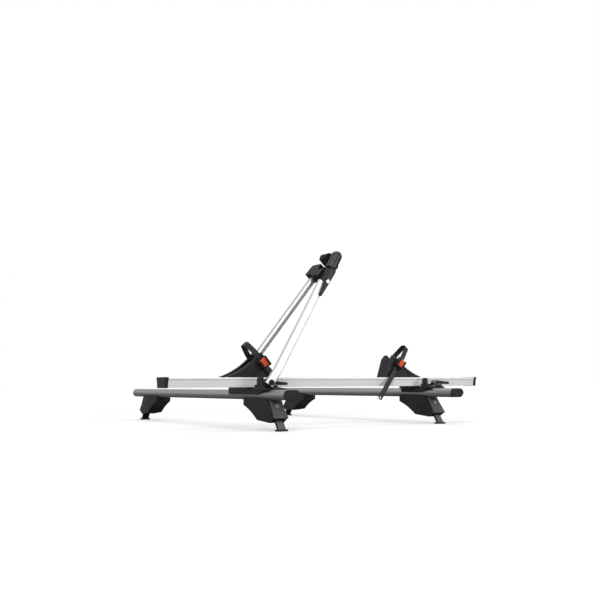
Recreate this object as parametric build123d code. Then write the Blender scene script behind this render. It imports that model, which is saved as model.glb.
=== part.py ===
from build123d import *
import math
import os

os.makedirs("parts", exist_ok=True)

# A carrier for one bicycle on a car roof: two roof bars on four feet, one wheel rail across
# them, two wheel holders and an A-shaped arm whose clamp grips the bicycle's frame tube.
# X runs along the wheel rail to the car's rear, Y along the roof bars to the far side, and
# Z goes up from the pads that stand on the roof rails. All sizes are in millimetres.

# General fits and cuts
overrun = 6.0
seat_gap = 0.3
running_gap = 0.05
edge_round = 1.5

# Roof bars
bar_length = 1280.0
bar_shift = 12.0
bar_width = 64.0
bar_height = 33.0
bar_wall = 2.2
bar_underside = 100.0
bar_slot_width = 20.0
bar_slot_depth = 7.0
bar_slot_lip = 2.5
bar_slot_mouth = 12.0
bar_slot_wall = 2.0
bar_outline_shares = {
    "top_front": (-0.28, 1.0),
    "top_rear": (0.20, 1.0),
    "upper_tail": (0.41, 0.85),
    "tail_tip": (0.50, 0.50),
    "lower_tail": (0.37, 0.13),
    "bottom_rear": (0.15, 0.0),
    "bottom_front": (-0.26, 0.0),
    "nose_tip": (-0.50, 0.50),
}

# Bar end caps and slot strips
bar_cap_face = 5.0
bar_cap_plug = 12.0
bar_cap_round = 2.5
strip_flange_width = 16.0
strip_flange_height = 2.0
strip_side_gap = 0.2

# Bar feet
foot_inset = 64.0
rear_foot_setback = 30.0
foot_bottom_length = 201.0
foot_face_lean = 43.0
foot_width = 64.0
foot_outer_width = 50.0
foot_taper_start = 104.0
foot_ground_clearance = 41.0
foot_hug = 7.0
foot_wing_depth = 18.0
foot_wing_reach = 92.0
foot_toe_height = 34.0
foot_heel_inset = 35.0
foot_heel_height = 26.0
foot_wing_sag = 5.0
foot_corner_round = 3.0
foot_cavity_width = 34.0
foot_cavity_floor = 11.0
foot_cavity_roof = 12.0
foot_cavity_reach = 88.0
cover_thickness = 6.0
cover_top_width = 40.0
cover_bottom_width = 54.0
cover_plug_depth = 7.0
cover_plug_height = 26.0
cover_round = 2.0
lock_radius = 7.0
lock_length = 7.0
lock_below_top = 19.0
keyway_width = 1.6
keyway_height = 7.5
keyway_depth = 3.0
leg_strap_width = 30.0
leg_strap_thickness = 7.0
leg_strap_top = 78.0
leg_strap_inset = 29.0
leg_strap_lean = 28.5
leg_flute_count = 4
leg_flute_radius = 1.6
leg_flute_sink = 0.7
pad_width = 38.0
pad_depth = 22.0
pad_height = 6.0
tension_bolt_radius = 4.0
tension_bolt_length = 80.0
tension_head_across = 13.0
tension_head_height = 4.0
tension_washer_edge = 1.0
tension_bolt_height = 68.0

# Wheel rail
rail_length = 1352.0
rail_end_inset = 210.0
rail_height = 32.6
rail_base_width = 54.0
rail_top_width = 66.0
rail_wall = 2.0
rail_floor_height = 11.0
rail_lip_height = 8.0
rail_lip_bulge = 1.6
rail_lip_inward = 5.0
rail_slot_width = 22.0
rail_slot_mouth = 8.6
rail_slot_wall = 2.0
rail_cap_face = 3.0
rail_cap_cover = 10.0
rail_cap_skin = 1.2
rail_cap_plug = 9.0

# Base brackets between the bars and the rail
front_bar_setback = 355.0
rear_bar_setback = 262.0
bracket_cover = 9.0
bracket_side = 5.0
bracket_skirt = 15.0
front_bracket_near_reach = 127.0
rear_bracket_near_reach = 90.0
front_skirt_reach = 59.0
rear_skirt_reach = 41.0
front_plate_reach = 110.0
rear_plate_reach = 70.0
front_bracket_far_reach = 187.0
rear_bracket_far_reach = 121.0
bracket_tip_length = 45.0
bracket_tip_width = 24.0
bracket_tip_drop = 6.0
front_end_slope = 38.0
rear_end_slope = 9.0
bracket_end_drop = 7.0
bracket_corner = 6.0
bracket_guide_height = 8.0
bracket_guide_thickness = 4.0
bracket_guide_length = 56.0
rib_count = 5
rib_pitch = 14.0
rib_groove = 6.0
rib_groove_depth = 2.6
rib_first_offset = 12.0
rib_top_reach = 20.0

# Rail T-bolts in each bracket
rail_bolt_radius = 3.0
rail_bolt_head = 16.0
rail_bolt_head_height = 3.6
rail_bolt_pitch = 44.0
rail_nut_across = 10.0
rail_nut_height = 4.6

# Bracket T-bolts in the bar slots, with a cam lever at the near one
bracket_bolt_offset = 72.0
bracket_bolt_radius = 4.0
bracket_bolt_head_length = 17.0
bracket_bolt_head_width = 12.0
bracket_bolt_head_height = 4.0
dome_nut_across = 13.0
dome_nut_height = 11.0
cam_eye_radius = 7.0
cam_eye_thickness = 6.0
cam_pin_radius = 3.0
cam_radius = 9.5
cam_offset = 1.0
cam_pin_height = 12.5
cam_lever_width = 14.0
cam_lever_length = 68.0
cam_lever_thickness = 9.0
cam_lever_tip_drop = 1.5
cam_washer_radius = 8.5
cam_washer_height = 1.6
cam_root_thickness = 14.0
lever_boss_start = 10.0
lever_boss_length = 24.0
lever_boss_width = 16.0
lever_boss_height = 6.0

# Arm pivots on the front bracket
pivot_setback = 15.0
pivot_height = 15.0
ear_thickness = 10.0
ear_radius = 15.0
ear_foot_front = 20.0
ear_foot_rear = 28.0
web_width = 34.0
web_thickness = 7.0
web_height = 32.0
rear_wall_reach = 70.0
rear_wall_width = 25.0
rear_wall_height = 30.0
web_round = 10.0
pivot_bolt_radius = 5.0
pivot_head_across = 16.0
pivot_head_height = 6.0
pivot_washer_radius = 10.0
pivot_washer_height = 1.2
pivot_nut_height = 5.0
bush_wall = 2.0
bush_flange_radius = 10.0
bush_flange_height = 1.0

# Arm legs
near_leg_offset = 107.0
near_leg_width = 32.0
near_leg_thickness = 16.0
near_leg_wall = 2.0
near_leg_top_offset = 47.0
far_leg_offset = 110.0
far_leg_radius = 12.5
far_leg_wall = 1.8
far_leg_top_offset = 58.0
leg_end_margin = 10.0
leg_foot_straight = 44.0
leg_bend_radius = 70.0
leg_plug_face = 2.0
leg_plug_depth = 2.0

# Clamp head, placed from the point where it grips the frame tube
arm_angle = 52.8
grip_reach = 504.0
frame_tube_radius = 17.0
frame_tube_slope = 42.6
head_axis_angle = 60.0
head_axis_shift = 16.0
head_near_offset = 64.0
head_inner_offset = 22.0
head_bottom_reach = 118.0
head_waist_reach = 51.0
head_left_knee = 62.0
head_shoulder_reach = 20.0
head_top_drop = 6.0
head_left = -25.0
head_right = 1.5
head_waist_right = -1.0
head_foot_left = -18.0
head_foot_right = -8.0
head_inner_knee = 64.0
head_foot_offset = 50.0
near_leg_shift = 24.0
near_mouth_reach = 130.0
near_top_reach = 66.0
head_round = 3.0

# Clamp screw, knob and lock
screw_radius = 4.0
screw_end_reach = 60.0
knob_radius = 20.0
knob_height = 74.0
knob_foot_height = 4.0
knob_dome = 19.0
knob_flute_count = 8
knob_flute_radius = 5.0
knob_flute_sink = 1.0
knob_flute_bottom = 9.0
head_lock_radius = 6.5
head_lock_length = 7.0
head_lock_stand = 0.8
head_lock_down = 58.3
head_lock_across = 4.4

# Jaws
jaw_pad_thickness = 4.0
fixed_jaw_front = 27.0
fixed_jaw_rear = 17.0
fixed_jaw_far = 82.0
fixed_jaw_top = 19.0
fixed_near_drop = 6.0
fixed_jaw_bottom = 46.0
fixed_jaw_far_bottom = 32.0
fixed_jaw_round = 5.0
fixed_jaw_mouth_chamfer = 5.0
fixed_pad_start_angle = 205.0
fixed_pad_sweep_angle = 140.0
far_leg_socket_depth = 34.0
far_leg_mouth_reach = 14.0
jaw_slider_thickness = 4.4
jaw_slider_half = 6.5
jaw_slider_inset = 0.3
jaw_slider_down = 62.0
jaw_slider_up = 34.0
jaw_tab_height = 12.0
jaw_tab_half = 6.0
jaw_tab_beyond_screw = 8.0
jaw_travel = 30.0
jaw_nose_front = 36.0
jaw_nose_rise = 33.5
jaw_nose_radius = 16.0
jaw_heel_rear = 4.0
jaw_heel_radius = 11.0
jaw_nose_far = 16.0
jaw_pad_half_angle = 34.0
jaw_pad_front = 50.0
jaw_pad_rear = 10.0
nose_rib_count = 5
nose_rib_depth = 1.4
nose_rib_width = 3.0
jaw_bolt_radius = 3.0
jaw_bolt_head_radius = 4.2
jaw_bolt_head_height = 4.0
jaw_bolt_depth = 24.0
jaw_bolt_across = -5.0
jaw_bolt_upper_drop = 27.0
jaw_bolt_lower_drop = 39.0
leg_screw_radius = 2.5
leg_screw_head_radius = 4.2
leg_screw_head_height = 2.6
leg_screw_length = 12.0
leg_screw_up = 15.0
near_screw_shift = 15.0
near_screw_drop = 85.0
far_screw_length = 16.0

# Wheels that the holders are shaped for
wheel_radius = 338.0
front_wheel_setback = 130.0
rear_wheel_setback = 168.0

# Wheel holders
front_holder_lead = 92.0
rear_holder_lead = 124.0
holder_length = 169.0
holder_width = 60.0
holder_top_reach = 128.0
holder_top_height = 87.0
holder_shoulder_reach = 146.0
holder_shoulder_height = 68.0
holder_tip_height = 3.0
holder_cheek_sag = 13.0
holder_groove_width = 33.0
holder_groove_gap = 2.0
holder_edge_round = 3.0
holder_corner_round = 6.0
holder_keel_depth = 1.7
holder_keel_gap = 0.4
holder_keel_length = 110.0
holder_panel_depth = 1.4
holder_panel_margin = 9.0
holder_bolt_first = 80.0
holder_bolt_pitch = 48.0
holder_bolt_radius = 3.0
holder_bolt_head_radius = 5.0
holder_bolt_head_height = 6.0
holder_bolt_floor = 14.0
clamp_plate_length = 92.0
clamp_plate_thickness = 5.0
clamp_plate_gap = 0.25
clamp_plate_side_gap = 0.8

# Wheel straps, buckles and levers
strap_width = 20.0
strap_thickness = 2.4
strap_clearance = 0.35
strap_top_distance = 267.0
strap_top_half = 12.0
front_shoulder_distance = 312.0
rear_shoulder_distance = 334.0
strap_anchor_distance = 380.0
strap_bend_radius = 9.0
strap_gentle_radius = 30.0
front_strap_angle = 49.6
rear_strap_angle = 48.8
front_tail_distance = 426.0
rear_tail_distance = 526.0
strap_tail_start = 376.0
strap_tail_clear = 388.0
strap_tail_shift = 4.5
rear_tail_flare = 18.0
front_tail_flare = 7.0
tail_hole_radius = 3.6
tail_hole_inset = 8.0
buckle_start = 333.0
buckle_length = 38.0
buckle_width = 34.0
buckle_height = 14.0
buckle_floor = 4.0
buckle_ear = 7.5
buckle_round = 3.0
lever_length = 24.0
lever_thickness = 5.0
lever_side_gap = 0.3
lever_pin_radius = 2.0
lever_pin_inset = 6.0
lever_eye_radius = 4.4
lever_rest_gap = 0.3
rivet_radius = 2.0
rivet_head_radius = 3.8
rivet_head_height = 1.4
rivet_depth = 9.0
buckle_rivet_radius = 1.8
buckle_rivet_reach = 17.0
anchor_margin = 12.0

# Heights and places that follow from the sizes above
bar_top = bar_underside + bar_height
rail_bottom = bar_top + bracket_cover
rail_top = rail_bottom + rail_height
rail_floor = rail_bottom + rail_floor_height
rail_y = rail_end_inset - bar_length / 2
front_bar_x = -rail_length / 2 + front_bar_setback
rear_bar_x = rail_length / 2 - rear_bar_setback
slot_share = (bar_outline_shares["top_front"][0] + bar_outline_shares["top_rear"][0]) / 2
slot_shift = slot_share * bar_width
wheel_centre_z = rail_floor + wheel_radius
front_wheel_x = -rail_length / 2 + front_wheel_setback
rear_wheel_x = rail_length / 2 - rear_wheel_setback
pivot_x = front_bar_x - pivot_setback
pivot_z = rail_bottom + pivot_height
grip_x = pivot_x + grip_reach * math.cos(math.radians(arm_angle))
grip_z = pivot_z + grip_reach * math.sin(math.radians(arm_angle))

# Directions of the clamp head: up its body, square to the body, along the frame tube and
# square to the frame tube
up_body = Vector(math.cos(math.radians(head_axis_angle)), 0, math.sin(math.radians(head_axis_angle)))
across_body = Vector(up_body.Z, 0, -up_body.X)
along_tube = Vector(math.cos(math.radians(frame_tube_slope)), 0, -math.sin(math.radians(frame_tube_slope)))
above_tube = Vector(-along_tube.Z, 0, along_tube.X)
outward = Vector(0, -1, 0)


def block(x_low, x_high, y_low, y_high, z_low, z_high):
    """A square block between two corners."""
    centre = Pos((x_low + x_high) / 2, (y_low + y_high) / 2, (z_low + z_high) / 2)
    return centre * Box(x_high - x_low, y_high - y_low, z_high - z_low)


def along_y(face, y_low, y_high):
    """A face of X and Z, pushed along Y between two places."""
    return extrude(Plane.XZ.offset(-y_high) * face, amount=y_high - y_low, dir=(0, -1, 0))


def along_x(face, x_low, x_high):
    """A face of Y and Z, pushed along X between two places."""
    return extrude(Plane.YZ.offset(x_low) * face, amount=x_high - x_low, dir=(1, 0, 0))


def outline(*points):
    """A straight-sided face through the given points."""
    return make_face(Polyline(*points, close=True))


def rod(start, direction, length, radius):
    """A round bar from a start point."""
    bar = Cylinder(radius, length, align=(Align.CENTER, Align.CENTER, Align.MIN))
    return Plane(origin=start, z_dir=direction) * bar


def hex_bar(start, direction, length, across_flats):
    """A six-sided head or nut from a start point."""
    face = RegularPolygon(across_flats / 2, 6, major_radius=False)
    return extrude(Plane(origin=start, z_dir=direction) * face, amount=length, dir=direction)


def head_point(across, up, offset=0):
    """A point of the clamp head, from the gripped tube's axis."""
    place = across_body * across + up_body * up
    return Vector(grip_x + place.X, rail_y - offset, grip_z + place.Z)


def head_slab(face, offset_low, offset_high):
    """A face in the head body's own axes, pushed across the carrier between two offsets."""
    plane = Plane(origin=head_point(0, 0, offset_low), x_dir=across_body, z_dir=outward)
    return extrude(plane * face, amount=offset_high - offset_low, dir=outward)


def tube_slab(face, offset_low, offset_high):
    """A face in the frame tube's own axes, pushed across the carrier between two offsets."""
    plane = Plane(origin=head_point(0, 0, offset_low), x_dir=along_tube, z_dir=outward)
    return extrude(plane * face, amount=offset_high - offset_low, dir=outward)


def save(name, *pieces):
    """Write one node, as one solid or as a group of like solids."""
    solids = [solid for piece in pieces for solid in piece.solids()]
    shape = solids[0] if len(solids) == 1 else Compound(solids)
    export_step(shape, f"parts/{name}.step")


def bar_point(name):
    across, up = bar_outline_shares[name]
    return (across * bar_width, bar_underside + up * bar_height)


def bar_section():
    """The bar's outer section: a blunt nose to the front and a slimmer tail to the rear."""
    return make_face([
        Line(bar_point("top_front"), bar_point("top_rear")),
        ThreePointArc(bar_point("top_rear"), bar_point("upper_tail"), bar_point("tail_tip")),
        ThreePointArc(bar_point("tail_tip"), bar_point("lower_tail"), bar_point("bottom_rear")),
        Line(bar_point("bottom_rear"), bar_point("bottom_front")),
        ThreePointArc(bar_point("bottom_front"), bar_point("nose_tip"), bar_point("top_front")),
    ])


def bar_hollow():
    """The space inside the bar's wall, without the casing of the top slot."""
    casing_depth = bar_slot_lip + bar_slot_depth + bar_slot_wall
    casing_half = bar_slot_width / 2 + bar_slot_wall
    casing = outline(
        (slot_shift - casing_half, bar_top - casing_depth),
        (slot_shift + casing_half, bar_top - casing_depth),
        (slot_shift + casing_half, bar_top + overrun),
        (slot_shift - casing_half, bar_top + overrun),
    )
    return offset(bar_section(), amount=-bar_wall) - casing


def roof_bar():
    """A hollow aero bar with a T-slot along its top."""
    half = bar_length / 2 - bar_cap_face
    solid = along_y(bar_section(), -half, half)
    solid -= along_y(bar_hollow(), -half - overrun, half + overrun)
    slot_low = bar_top - bar_slot_lip - bar_slot_depth
    solid -= block(
        slot_shift - bar_slot_width / 2, slot_shift + bar_slot_width / 2,
        -half - overrun, half + overrun, slot_low, bar_top - bar_slot_lip,
    )
    solid -= block(
        slot_shift - bar_slot_mouth / 2, slot_shift + bar_slot_mouth / 2,
        -half - overrun, half + overrun, slot_low, bar_top + overrun,
    )
    return solid


def bar_end_cap():
    """The far end's plastic cap, with a plug that fills the bar's hollow."""
    half = bar_length / 2
    face = along_y(bar_section(), half - bar_cap_face, half)
    face = fillet(face.faces().sort_by(Axis.Y)[-1].edges(), bar_cap_round)
    plug = along_y(
        offset(bar_hollow(), amount=-seat_gap), half - bar_cap_face - bar_cap_plug, half - bar_cap_face)
    return face + plug


def slot_strip(y_low, y_high):
    """A rubber strip that closes the bar's top slot."""
    mouth_half = bar_slot_mouth / 2 - strip_side_gap
    under_lip = bar_top - bar_slot_lip
    strip = block(slot_shift - mouth_half, slot_shift + mouth_half, y_low, y_high, under_lip, bar_top)
    return strip + block(
        slot_shift - strip_flange_width / 2, slot_shift + strip_flange_width / 2,
        y_low, y_high, under_lip - strip_flange_height, under_lip,
    )


def slot_strips(bar_y, near_reach, far_reach):
    """The strip's two lengths, either side of the base bracket."""
    end = bar_length / 2 - bar_cap_face
    return (
        slot_strip(bar_y - end, rail_y - near_reach),
        slot_strip(rail_y + far_reach, bar_y + end),
    )


# The feet are drawn with a reach that starts at the housing's inner end and grows towards
# the bar's end, and stand first under the far end.
foot_inner_y = bar_length / 2 - foot_inset - foot_bottom_length
foot_top_length = foot_bottom_length - foot_face_lean
foot_heel_reach = foot_bottom_length - foot_heel_inset
cover_slope = Vector(0, foot_bottom_length - foot_top_length, foot_ground_clearance - bar_underside)
cover_normal = Vector(0, -cover_slope.Z, cover_slope.Y).normalized()


def foot_face_reach(z, inset=0):
    """The reach of the foot's slanted outer face at a height, or of a plane behind it."""
    share = (bar_underside - z) / (bar_underside - foot_ground_clearance)
    face = foot_top_length + share * (foot_bottom_length - foot_top_length)
    return face - inset / cover_normal.Y


def foot_side_face(inset, z_low, z_high):
    """The foot's side view between two heights, with its outer face set back by an inset."""
    wing_z = bar_underside - foot_wing_depth
    middle = (
        foot_inner_y + foot_wing_reach / 2,
        (wing_z + foot_toe_height) / 2 + foot_wing_sag,
    )
    toe = (foot_inner_y + foot_wing_reach, foot_toe_height)
    heel = (foot_inner_y + foot_heel_reach, foot_heel_height)
    outer_low = (foot_inner_y + foot_face_reach(foot_ground_clearance, inset), foot_ground_clearance)
    outer_high = (foot_inner_y + foot_face_reach(z_high, inset), z_high)
    return make_face([
        ThreePointArc((foot_inner_y, wing_z), middle, toe),
        Line(toe, heel),
        Line(heel, outer_low),
        Line(outer_low, outer_high),
        Line(outer_high, (foot_inner_y, z_high)),
        Line((foot_inner_y, z_high), (foot_inner_y, wing_z)),
    ])


def foot_housing():
    """A moulded foot: an inward wing over a concave underside, hugging the bar above."""
    setback = cover_thickness + seat_gap
    side = foot_side_face(setback, foot_ground_clearance, bar_underside + foot_hug)
    body = along_x(side, -foot_width / 2, foot_width / 2)
    edges = body.edges().filter_by(Axis.X)
    body = fillet(edges.sort_by(Axis.Z)[:1] + edges.sort_by(Axis.Y)[:1], foot_corner_round)
    reach_end = foot_inner_y + foot_bottom_length + overrun
    for side_sign in (-1, 1):
        wedge = outline(
            (side_sign * foot_width / 2, foot_inner_y + foot_taper_start),
            (side_sign * foot_outer_width / 2, reach_end),
            (side_sign * foot_width, reach_end),
            (side_sign * foot_width, foot_inner_y + foot_taper_start),
        )
        body -= extrude(wedge, amount=bar_top, dir=(0, 0, 1))
    grown_bar = offset(bar_section(), amount=seat_gap)
    body -= along_y(grown_bar, foot_inner_y - overrun, bar_length / 2)
    body -= block(
        -foot_cavity_width / 2, foot_cavity_width / 2,
        foot_inner_y + foot_cavity_reach, reach_end,
        foot_ground_clearance + foot_cavity_floor, bar_underside - foot_cavity_roof,
    )
    return body - leg_strap(seat_gap) - tension_bolt(running_gap)


def foot_cover():
    """The tapered cover on the foot's slanted outer face, with a plug that locates it."""
    low_face = outline(
        (foot_inner_y + foot_face_reach(foot_ground_clearance), foot_ground_clearance),
        (foot_inner_y + foot_face_reach(bar_underside - seat_gap), bar_underside - seat_gap),
        (
            foot_inner_y + foot_face_reach(bar_underside - seat_gap, cover_thickness),
            bar_underside - seat_gap),
        (foot_inner_y + foot_face_reach(foot_ground_clearance, cover_thickness), foot_ground_clearance),
    )
    cover = along_x(low_face, -foot_width / 2, foot_width / 2)
    for side_sign in (-1, 1):
        wedge = outline(
            (side_sign * cover_bottom_width / 2, foot_ground_clearance - overrun),
            (side_sign * cover_top_width / 2, bar_underside + overrun),
            (side_sign * foot_width, bar_underside + overrun),
            (side_sign * foot_width, foot_ground_clearance - overrun),
        )
        cover -= along_y(wedge, foot_inner_y, bar_length / 2)
    outer = cover.faces().filter_by(lambda face: face.normal_at().dot(cover_normal) > 0.99)
    cover = fillet(outer.edges(), cover_round)
    plug_low = foot_ground_clearance + foot_cavity_floor + seat_gap
    plug_high = plug_low + cover_plug_height
    plug = outline(
        (foot_inner_y + foot_face_reach(plug_low, cover_thickness), plug_low),
        (foot_inner_y + foot_face_reach(plug_high, cover_thickness), plug_high),
        (foot_inner_y + foot_face_reach(plug_high, cover_thickness + cover_plug_depth), plug_high),
        (foot_inner_y + foot_face_reach(plug_low, cover_thickness + cover_plug_depth), plug_low),
    )
    half = foot_cavity_width / 2 - seat_gap
    rim = along_x(plug, -half, half) - along_x(plug, -half + cover_round, half - cover_round)
    lock_hole = rod(
        lock_point(overrun), -cover_normal, lock_length + 2 * overrun, lock_radius + running_gap)
    return cover + rim - lock_hole


def lock_point(stand):
    """A point on the cover lock's axis, a given height above the cover."""
    z = bar_underside - lock_below_top
    return Vector(0, foot_inner_y + foot_face_reach(z), z) + cover_normal * stand


def cover_lock():
    """A round lock barrel with a plain key slot."""
    barrel = rod(lock_point(0), -cover_normal, lock_length, lock_radius)
    face = Plane(origin=lock_point(0), x_dir=(1, 0, 0), z_dir=cover_normal)
    slot = Box(keyway_width, keyway_height, 2 * keyway_depth)
    return barrel - face * slot


def leg_strap_y(z):
    """The middle of the slanted leg at a height."""
    at_foot = foot_inner_y + foot_bottom_length - leg_strap_inset
    return at_foot + leg_strap_lean * (foot_ground_clearance - z) / foot_ground_clearance


def leg_strap(gap=0):
    """The foot's slanted support leg: a steel strap in fluted rubber, cut level at the pad."""
    z_top = leg_strap_top + gap
    half = leg_strap_thickness / 2 + gap
    foot_y = leg_strap_y(pad_height)
    top_y = leg_strap_y(z_top)
    side = outline(
        (foot_y - half, pad_height), (foot_y + half, pad_height),
        (top_y + half, z_top), (top_y - half, z_top))
    strap = along_x(side, -leg_strap_width / 2 - gap, leg_strap_width / 2 + gap)
    if gap:
        return strap
    below = Vector(0, leg_strap_y(-overrun), -overrun)
    above = Vector(0, leg_strap_y(z_top + overrun), z_top + overrun)
    out = half + leg_flute_radius - leg_flute_sink
    for index in range(leg_flute_count):
        share = (index + 1) / (leg_flute_count + 1)
        start = below + Vector(leg_strap_width * share - leg_strap_width / 2, out, 0)
        strap -= rod(start, above - below, (above - below).length, leg_flute_radius)
    return strap - tension_bolt(running_gap)


def foot_pad():
    """The rubber pad under the leg."""
    foot_y = leg_strap_y(pad_height)
    pad = block(
        -pad_width / 2, pad_width / 2, foot_y - pad_depth / 2, foot_y + pad_depth / 2, 0, pad_height)
    return fillet(pad.edges().filter_by(Axis.Z), edge_round)


tension_head_lean = tension_head_across / 2 * leg_strap_lean / foot_ground_clearance
tension_head_y = (
    leg_strap_y(tension_bolt_height) + leg_strap_thickness / 2 + tension_head_lean + tension_washer_edge)


def tension_bolt(gap=0):
    """The bolt that draws the leg tight, from outside the leg into the foot."""
    start = Vector(0, tension_head_y, tension_bolt_height)
    shank = rod(start, (0, -1, 0), tension_bolt_length, tension_bolt_radius + gap)
    if gap:
        return shank
    return shank + hex_bar(start, (0, 1, 0), tension_head_height, tension_head_across)


def tension_washer():
    """The tapered washer between the slanted leg and the bolt's head."""
    low = tension_bolt_height - tension_head_across / 2
    high = tension_bolt_height + tension_head_across / 2
    leg_face = leg_strap_thickness / 2 + seat_gap
    wedge = outline(
        (leg_strap_y(low) + leg_face, low), (tension_head_y, low),
        (tension_head_y, high), (leg_strap_y(high) + leg_face, high))
    half = tension_head_across / 2
    return along_x(wedge, -half, half) - tension_bolt(running_gap)


def rail_side_width(height):
    """Half the rail's outer width at a height above its underside."""
    lip_half = rail_top_width / 2 - rail_lip_bulge
    share = height / rail_height
    return rail_base_width / 2 + share * (lip_half - rail_base_width / 2)


def rail_hull():
    """The rail's outer outline, with its thicker rolled top lips."""
    lip_low = rail_height - rail_lip_height
    points = []
    for side_sign in (1, -1):
        half = [
            (side_sign * rail_side_width(0), 0),
            (side_sign * rail_side_width(lip_low), lip_low),
            (side_sign * rail_top_width / 2, lip_low + rail_lip_bulge),
            (side_sign * rail_top_width / 2, rail_height - rail_lip_bulge),
            (side_sign * (rail_top_width / 2 - rail_lip_bulge), rail_height),
        ]
        points += half if side_sign == 1 else half[::-1]
    return outline(*points)


def rail_trough(gap=0):
    """The open space above the rail's floor, under and between the lips."""
    low = rail_floor_height + gap
    high = rail_height - rail_wall
    low_half = rail_side_width(rail_floor_height) - rail_wall - gap
    high_half = rail_side_width(high) - rail_wall - gap
    mouth_half = high_half - rail_lip_inward
    trough = outline((-low_half, low), (low_half, low), (high_half, high), (-high_half, high))
    mouth = outline(
        (-mouth_half, high), (mouth_half, high),
        (mouth_half, rail_height + overrun), (-mouth_half, rail_height + overrun))
    return trough + mouth


def wheel_rail():
    """The extruded wheel rail: a U channel over a T-slot and two closed chambers."""
    slot_half = rail_slot_width / 2
    slot_high = rail_floor_height - rail_wall
    section = rail_hull() - rail_trough()
    section -= outline(
        (-slot_half, rail_wall), (slot_half, rail_wall), (slot_half, slot_high), (-slot_half, slot_high))
    mouth_half = rail_slot_mouth / 2
    section -= outline(
        (-mouth_half, -overrun), (mouth_half, -overrun), (mouth_half, slot_high), (-mouth_half, slot_high))
    for side_sign in (-1, 1):
        inner = slot_half + rail_slot_wall
        section -= outline(
            (side_sign * inner, rail_wall),
            (side_sign * (rail_side_width(rail_wall) - rail_wall), rail_wall),
            (side_sign * (rail_side_width(slot_high) - rail_wall), slot_high),
            (side_sign * inner, slot_high))
    half = rail_length / 2 - rail_cap_face
    return Pos(0, rail_y, rail_bottom) * along_x(section, -half, half)


def rail_end_cap():
    """The rear end's moulded cap: a closed face, a thin skirt and a plug in the trough."""
    end = rail_length / 2
    face_x = end - rail_cap_face
    skirt_x = face_x - rail_cap_cover
    shell = along_x(offset(rail_hull(), amount=rail_cap_skin), skirt_x, end)
    shell -= along_x(offset(rail_hull(), amount=running_gap), skirt_x - overrun, face_x)
    top_open = Pos(0, 0, rail_height + overrun)
    shell = fillet(shell.faces().sort_by(Axis.X)[-1].edges(), rail_cap_skin)
    plug = along_x(rail_trough(seat_gap), face_x - rail_cap_plug, face_x)
    plug -= Pos(face_x, 0, 0) * top_open * Box(rail_length, rail_top_width, 2 * overrun)
    return Pos(0, rail_y, rail_bottom) * (shell + plug)


def bracket_body(near_reach, skirt_reach, plate_reach, end_slope, far_reach):
    """A moulded saddle over the bar, drawn about the bar's centre; its skirt ends short of its plate."""
    half = bar_width / 2 + bracket_side
    low = bar_top - bracket_skirt
    section = outline((-half, low), (half, low), (half, rail_bottom), (-half, rail_bottom))
    section = fillet(section.vertices().group_by(Axis.Y)[-1], bracket_corner)
    body = along_y(section, -near_reach, far_reach)
    body -= along_y(offset(bar_section(), amount=seat_gap), -near_reach - overrun, far_reach + overrun)
    tip_half = bracket_tip_width / 2
    plan = outline(
        (-half, -near_reach), (half, -near_reach),
        (half, far_reach - bracket_tip_length), (tip_half, far_reach),
        (-tip_half, far_reach), (-half, far_reach - bracket_tip_length))
    body &= extrude(plan, amount=rail_top, dir=(0, 0, 1))
    side = outline(
        (-near_reach, bar_top),
        (-near_reach, rail_bottom - bracket_end_drop),
        (-near_reach + end_slope, rail_bottom),
        (far_reach - bracket_end_drop, rail_bottom),
        (far_reach, rail_bottom - bracket_tip_drop),
        (far_reach, bar_top - bracket_tip_drop),
        (far_reach - bracket_tip_length, low),
        (-skirt_reach, low),
        (-plate_reach, bar_top))
    return body & along_x(side, -half, half)


def lever_boss():
    """The low boss under the folded cam lever."""
    x = slot_shift + lever_boss_start
    y = -bracket_bolt_offset
    return block(x, x + lever_boss_length, y - lever_boss_width / 2, y + lever_boss_width / 2,
                 rail_bottom - bracket_corner / 2, rail_bottom + lever_boss_height)


def rear_wall():
    """The upright wall at the rear bracket's front edge, beside the rail."""
    front = -bar_width / 2 - bracket_side
    wall = block(front, front + web_thickness, -rear_wall_reach, -rear_wall_reach + rear_wall_width,
                 rail_bottom - bracket_corner, rail_bottom + rear_wall_height)
    return fillet(wall.edges().filter_by(Axis.X).sort_by(Axis.Z)[-2:], web_round)


def bracket_guides():
    """Two low walls that keep the rail square on the bracket."""
    inner = rail_side_width(bracket_guide_height) + seat_gap
    walls = []
    for side_sign in (-1, 1):
        edges = sorted((side_sign * inner, side_sign * (inner + bracket_guide_thickness)))
        walls.append(block(
            -bracket_guide_length / 2, bracket_guide_length / 2,
            edges[0], edges[1], rail_bottom - bracket_corner / 2, rail_bottom + bracket_guide_height))
    return walls[0] + walls[1]


def t_bolt_places():
    """Where the rail's two T-bolts stand, along X from the bar's centre."""
    return (slot_shift - rail_bolt_pitch / 2, slot_shift + rail_bolt_pitch / 2)


def bracket_holes():
    """The holes of the rail's bolts, with nut pockets below, and of the bar's bolts."""
    pocket_high = bar_top + rail_nut_height + seat_gap
    cuts = []
    for x in t_bolt_places():
        cuts.append(rod((x, 0, bar_top - overrun), (0, 0, 1), bracket_cover + 2 * overrun,
                        rail_bolt_radius + running_gap))
        cuts.append(hex_bar((x, 0, bar_underside), (0, 0, 1), pocket_high - bar_underside,
                            rail_nut_across + 2 * running_gap))
    for y in (-bracket_bolt_offset, bracket_bolt_offset):
        cuts.append(rod((slot_shift, y, bar_top - overrun), (0, 0, 1), bracket_cover + 2 * overrun,
                        bracket_bolt_radius + running_gap))
    return cuts


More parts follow.
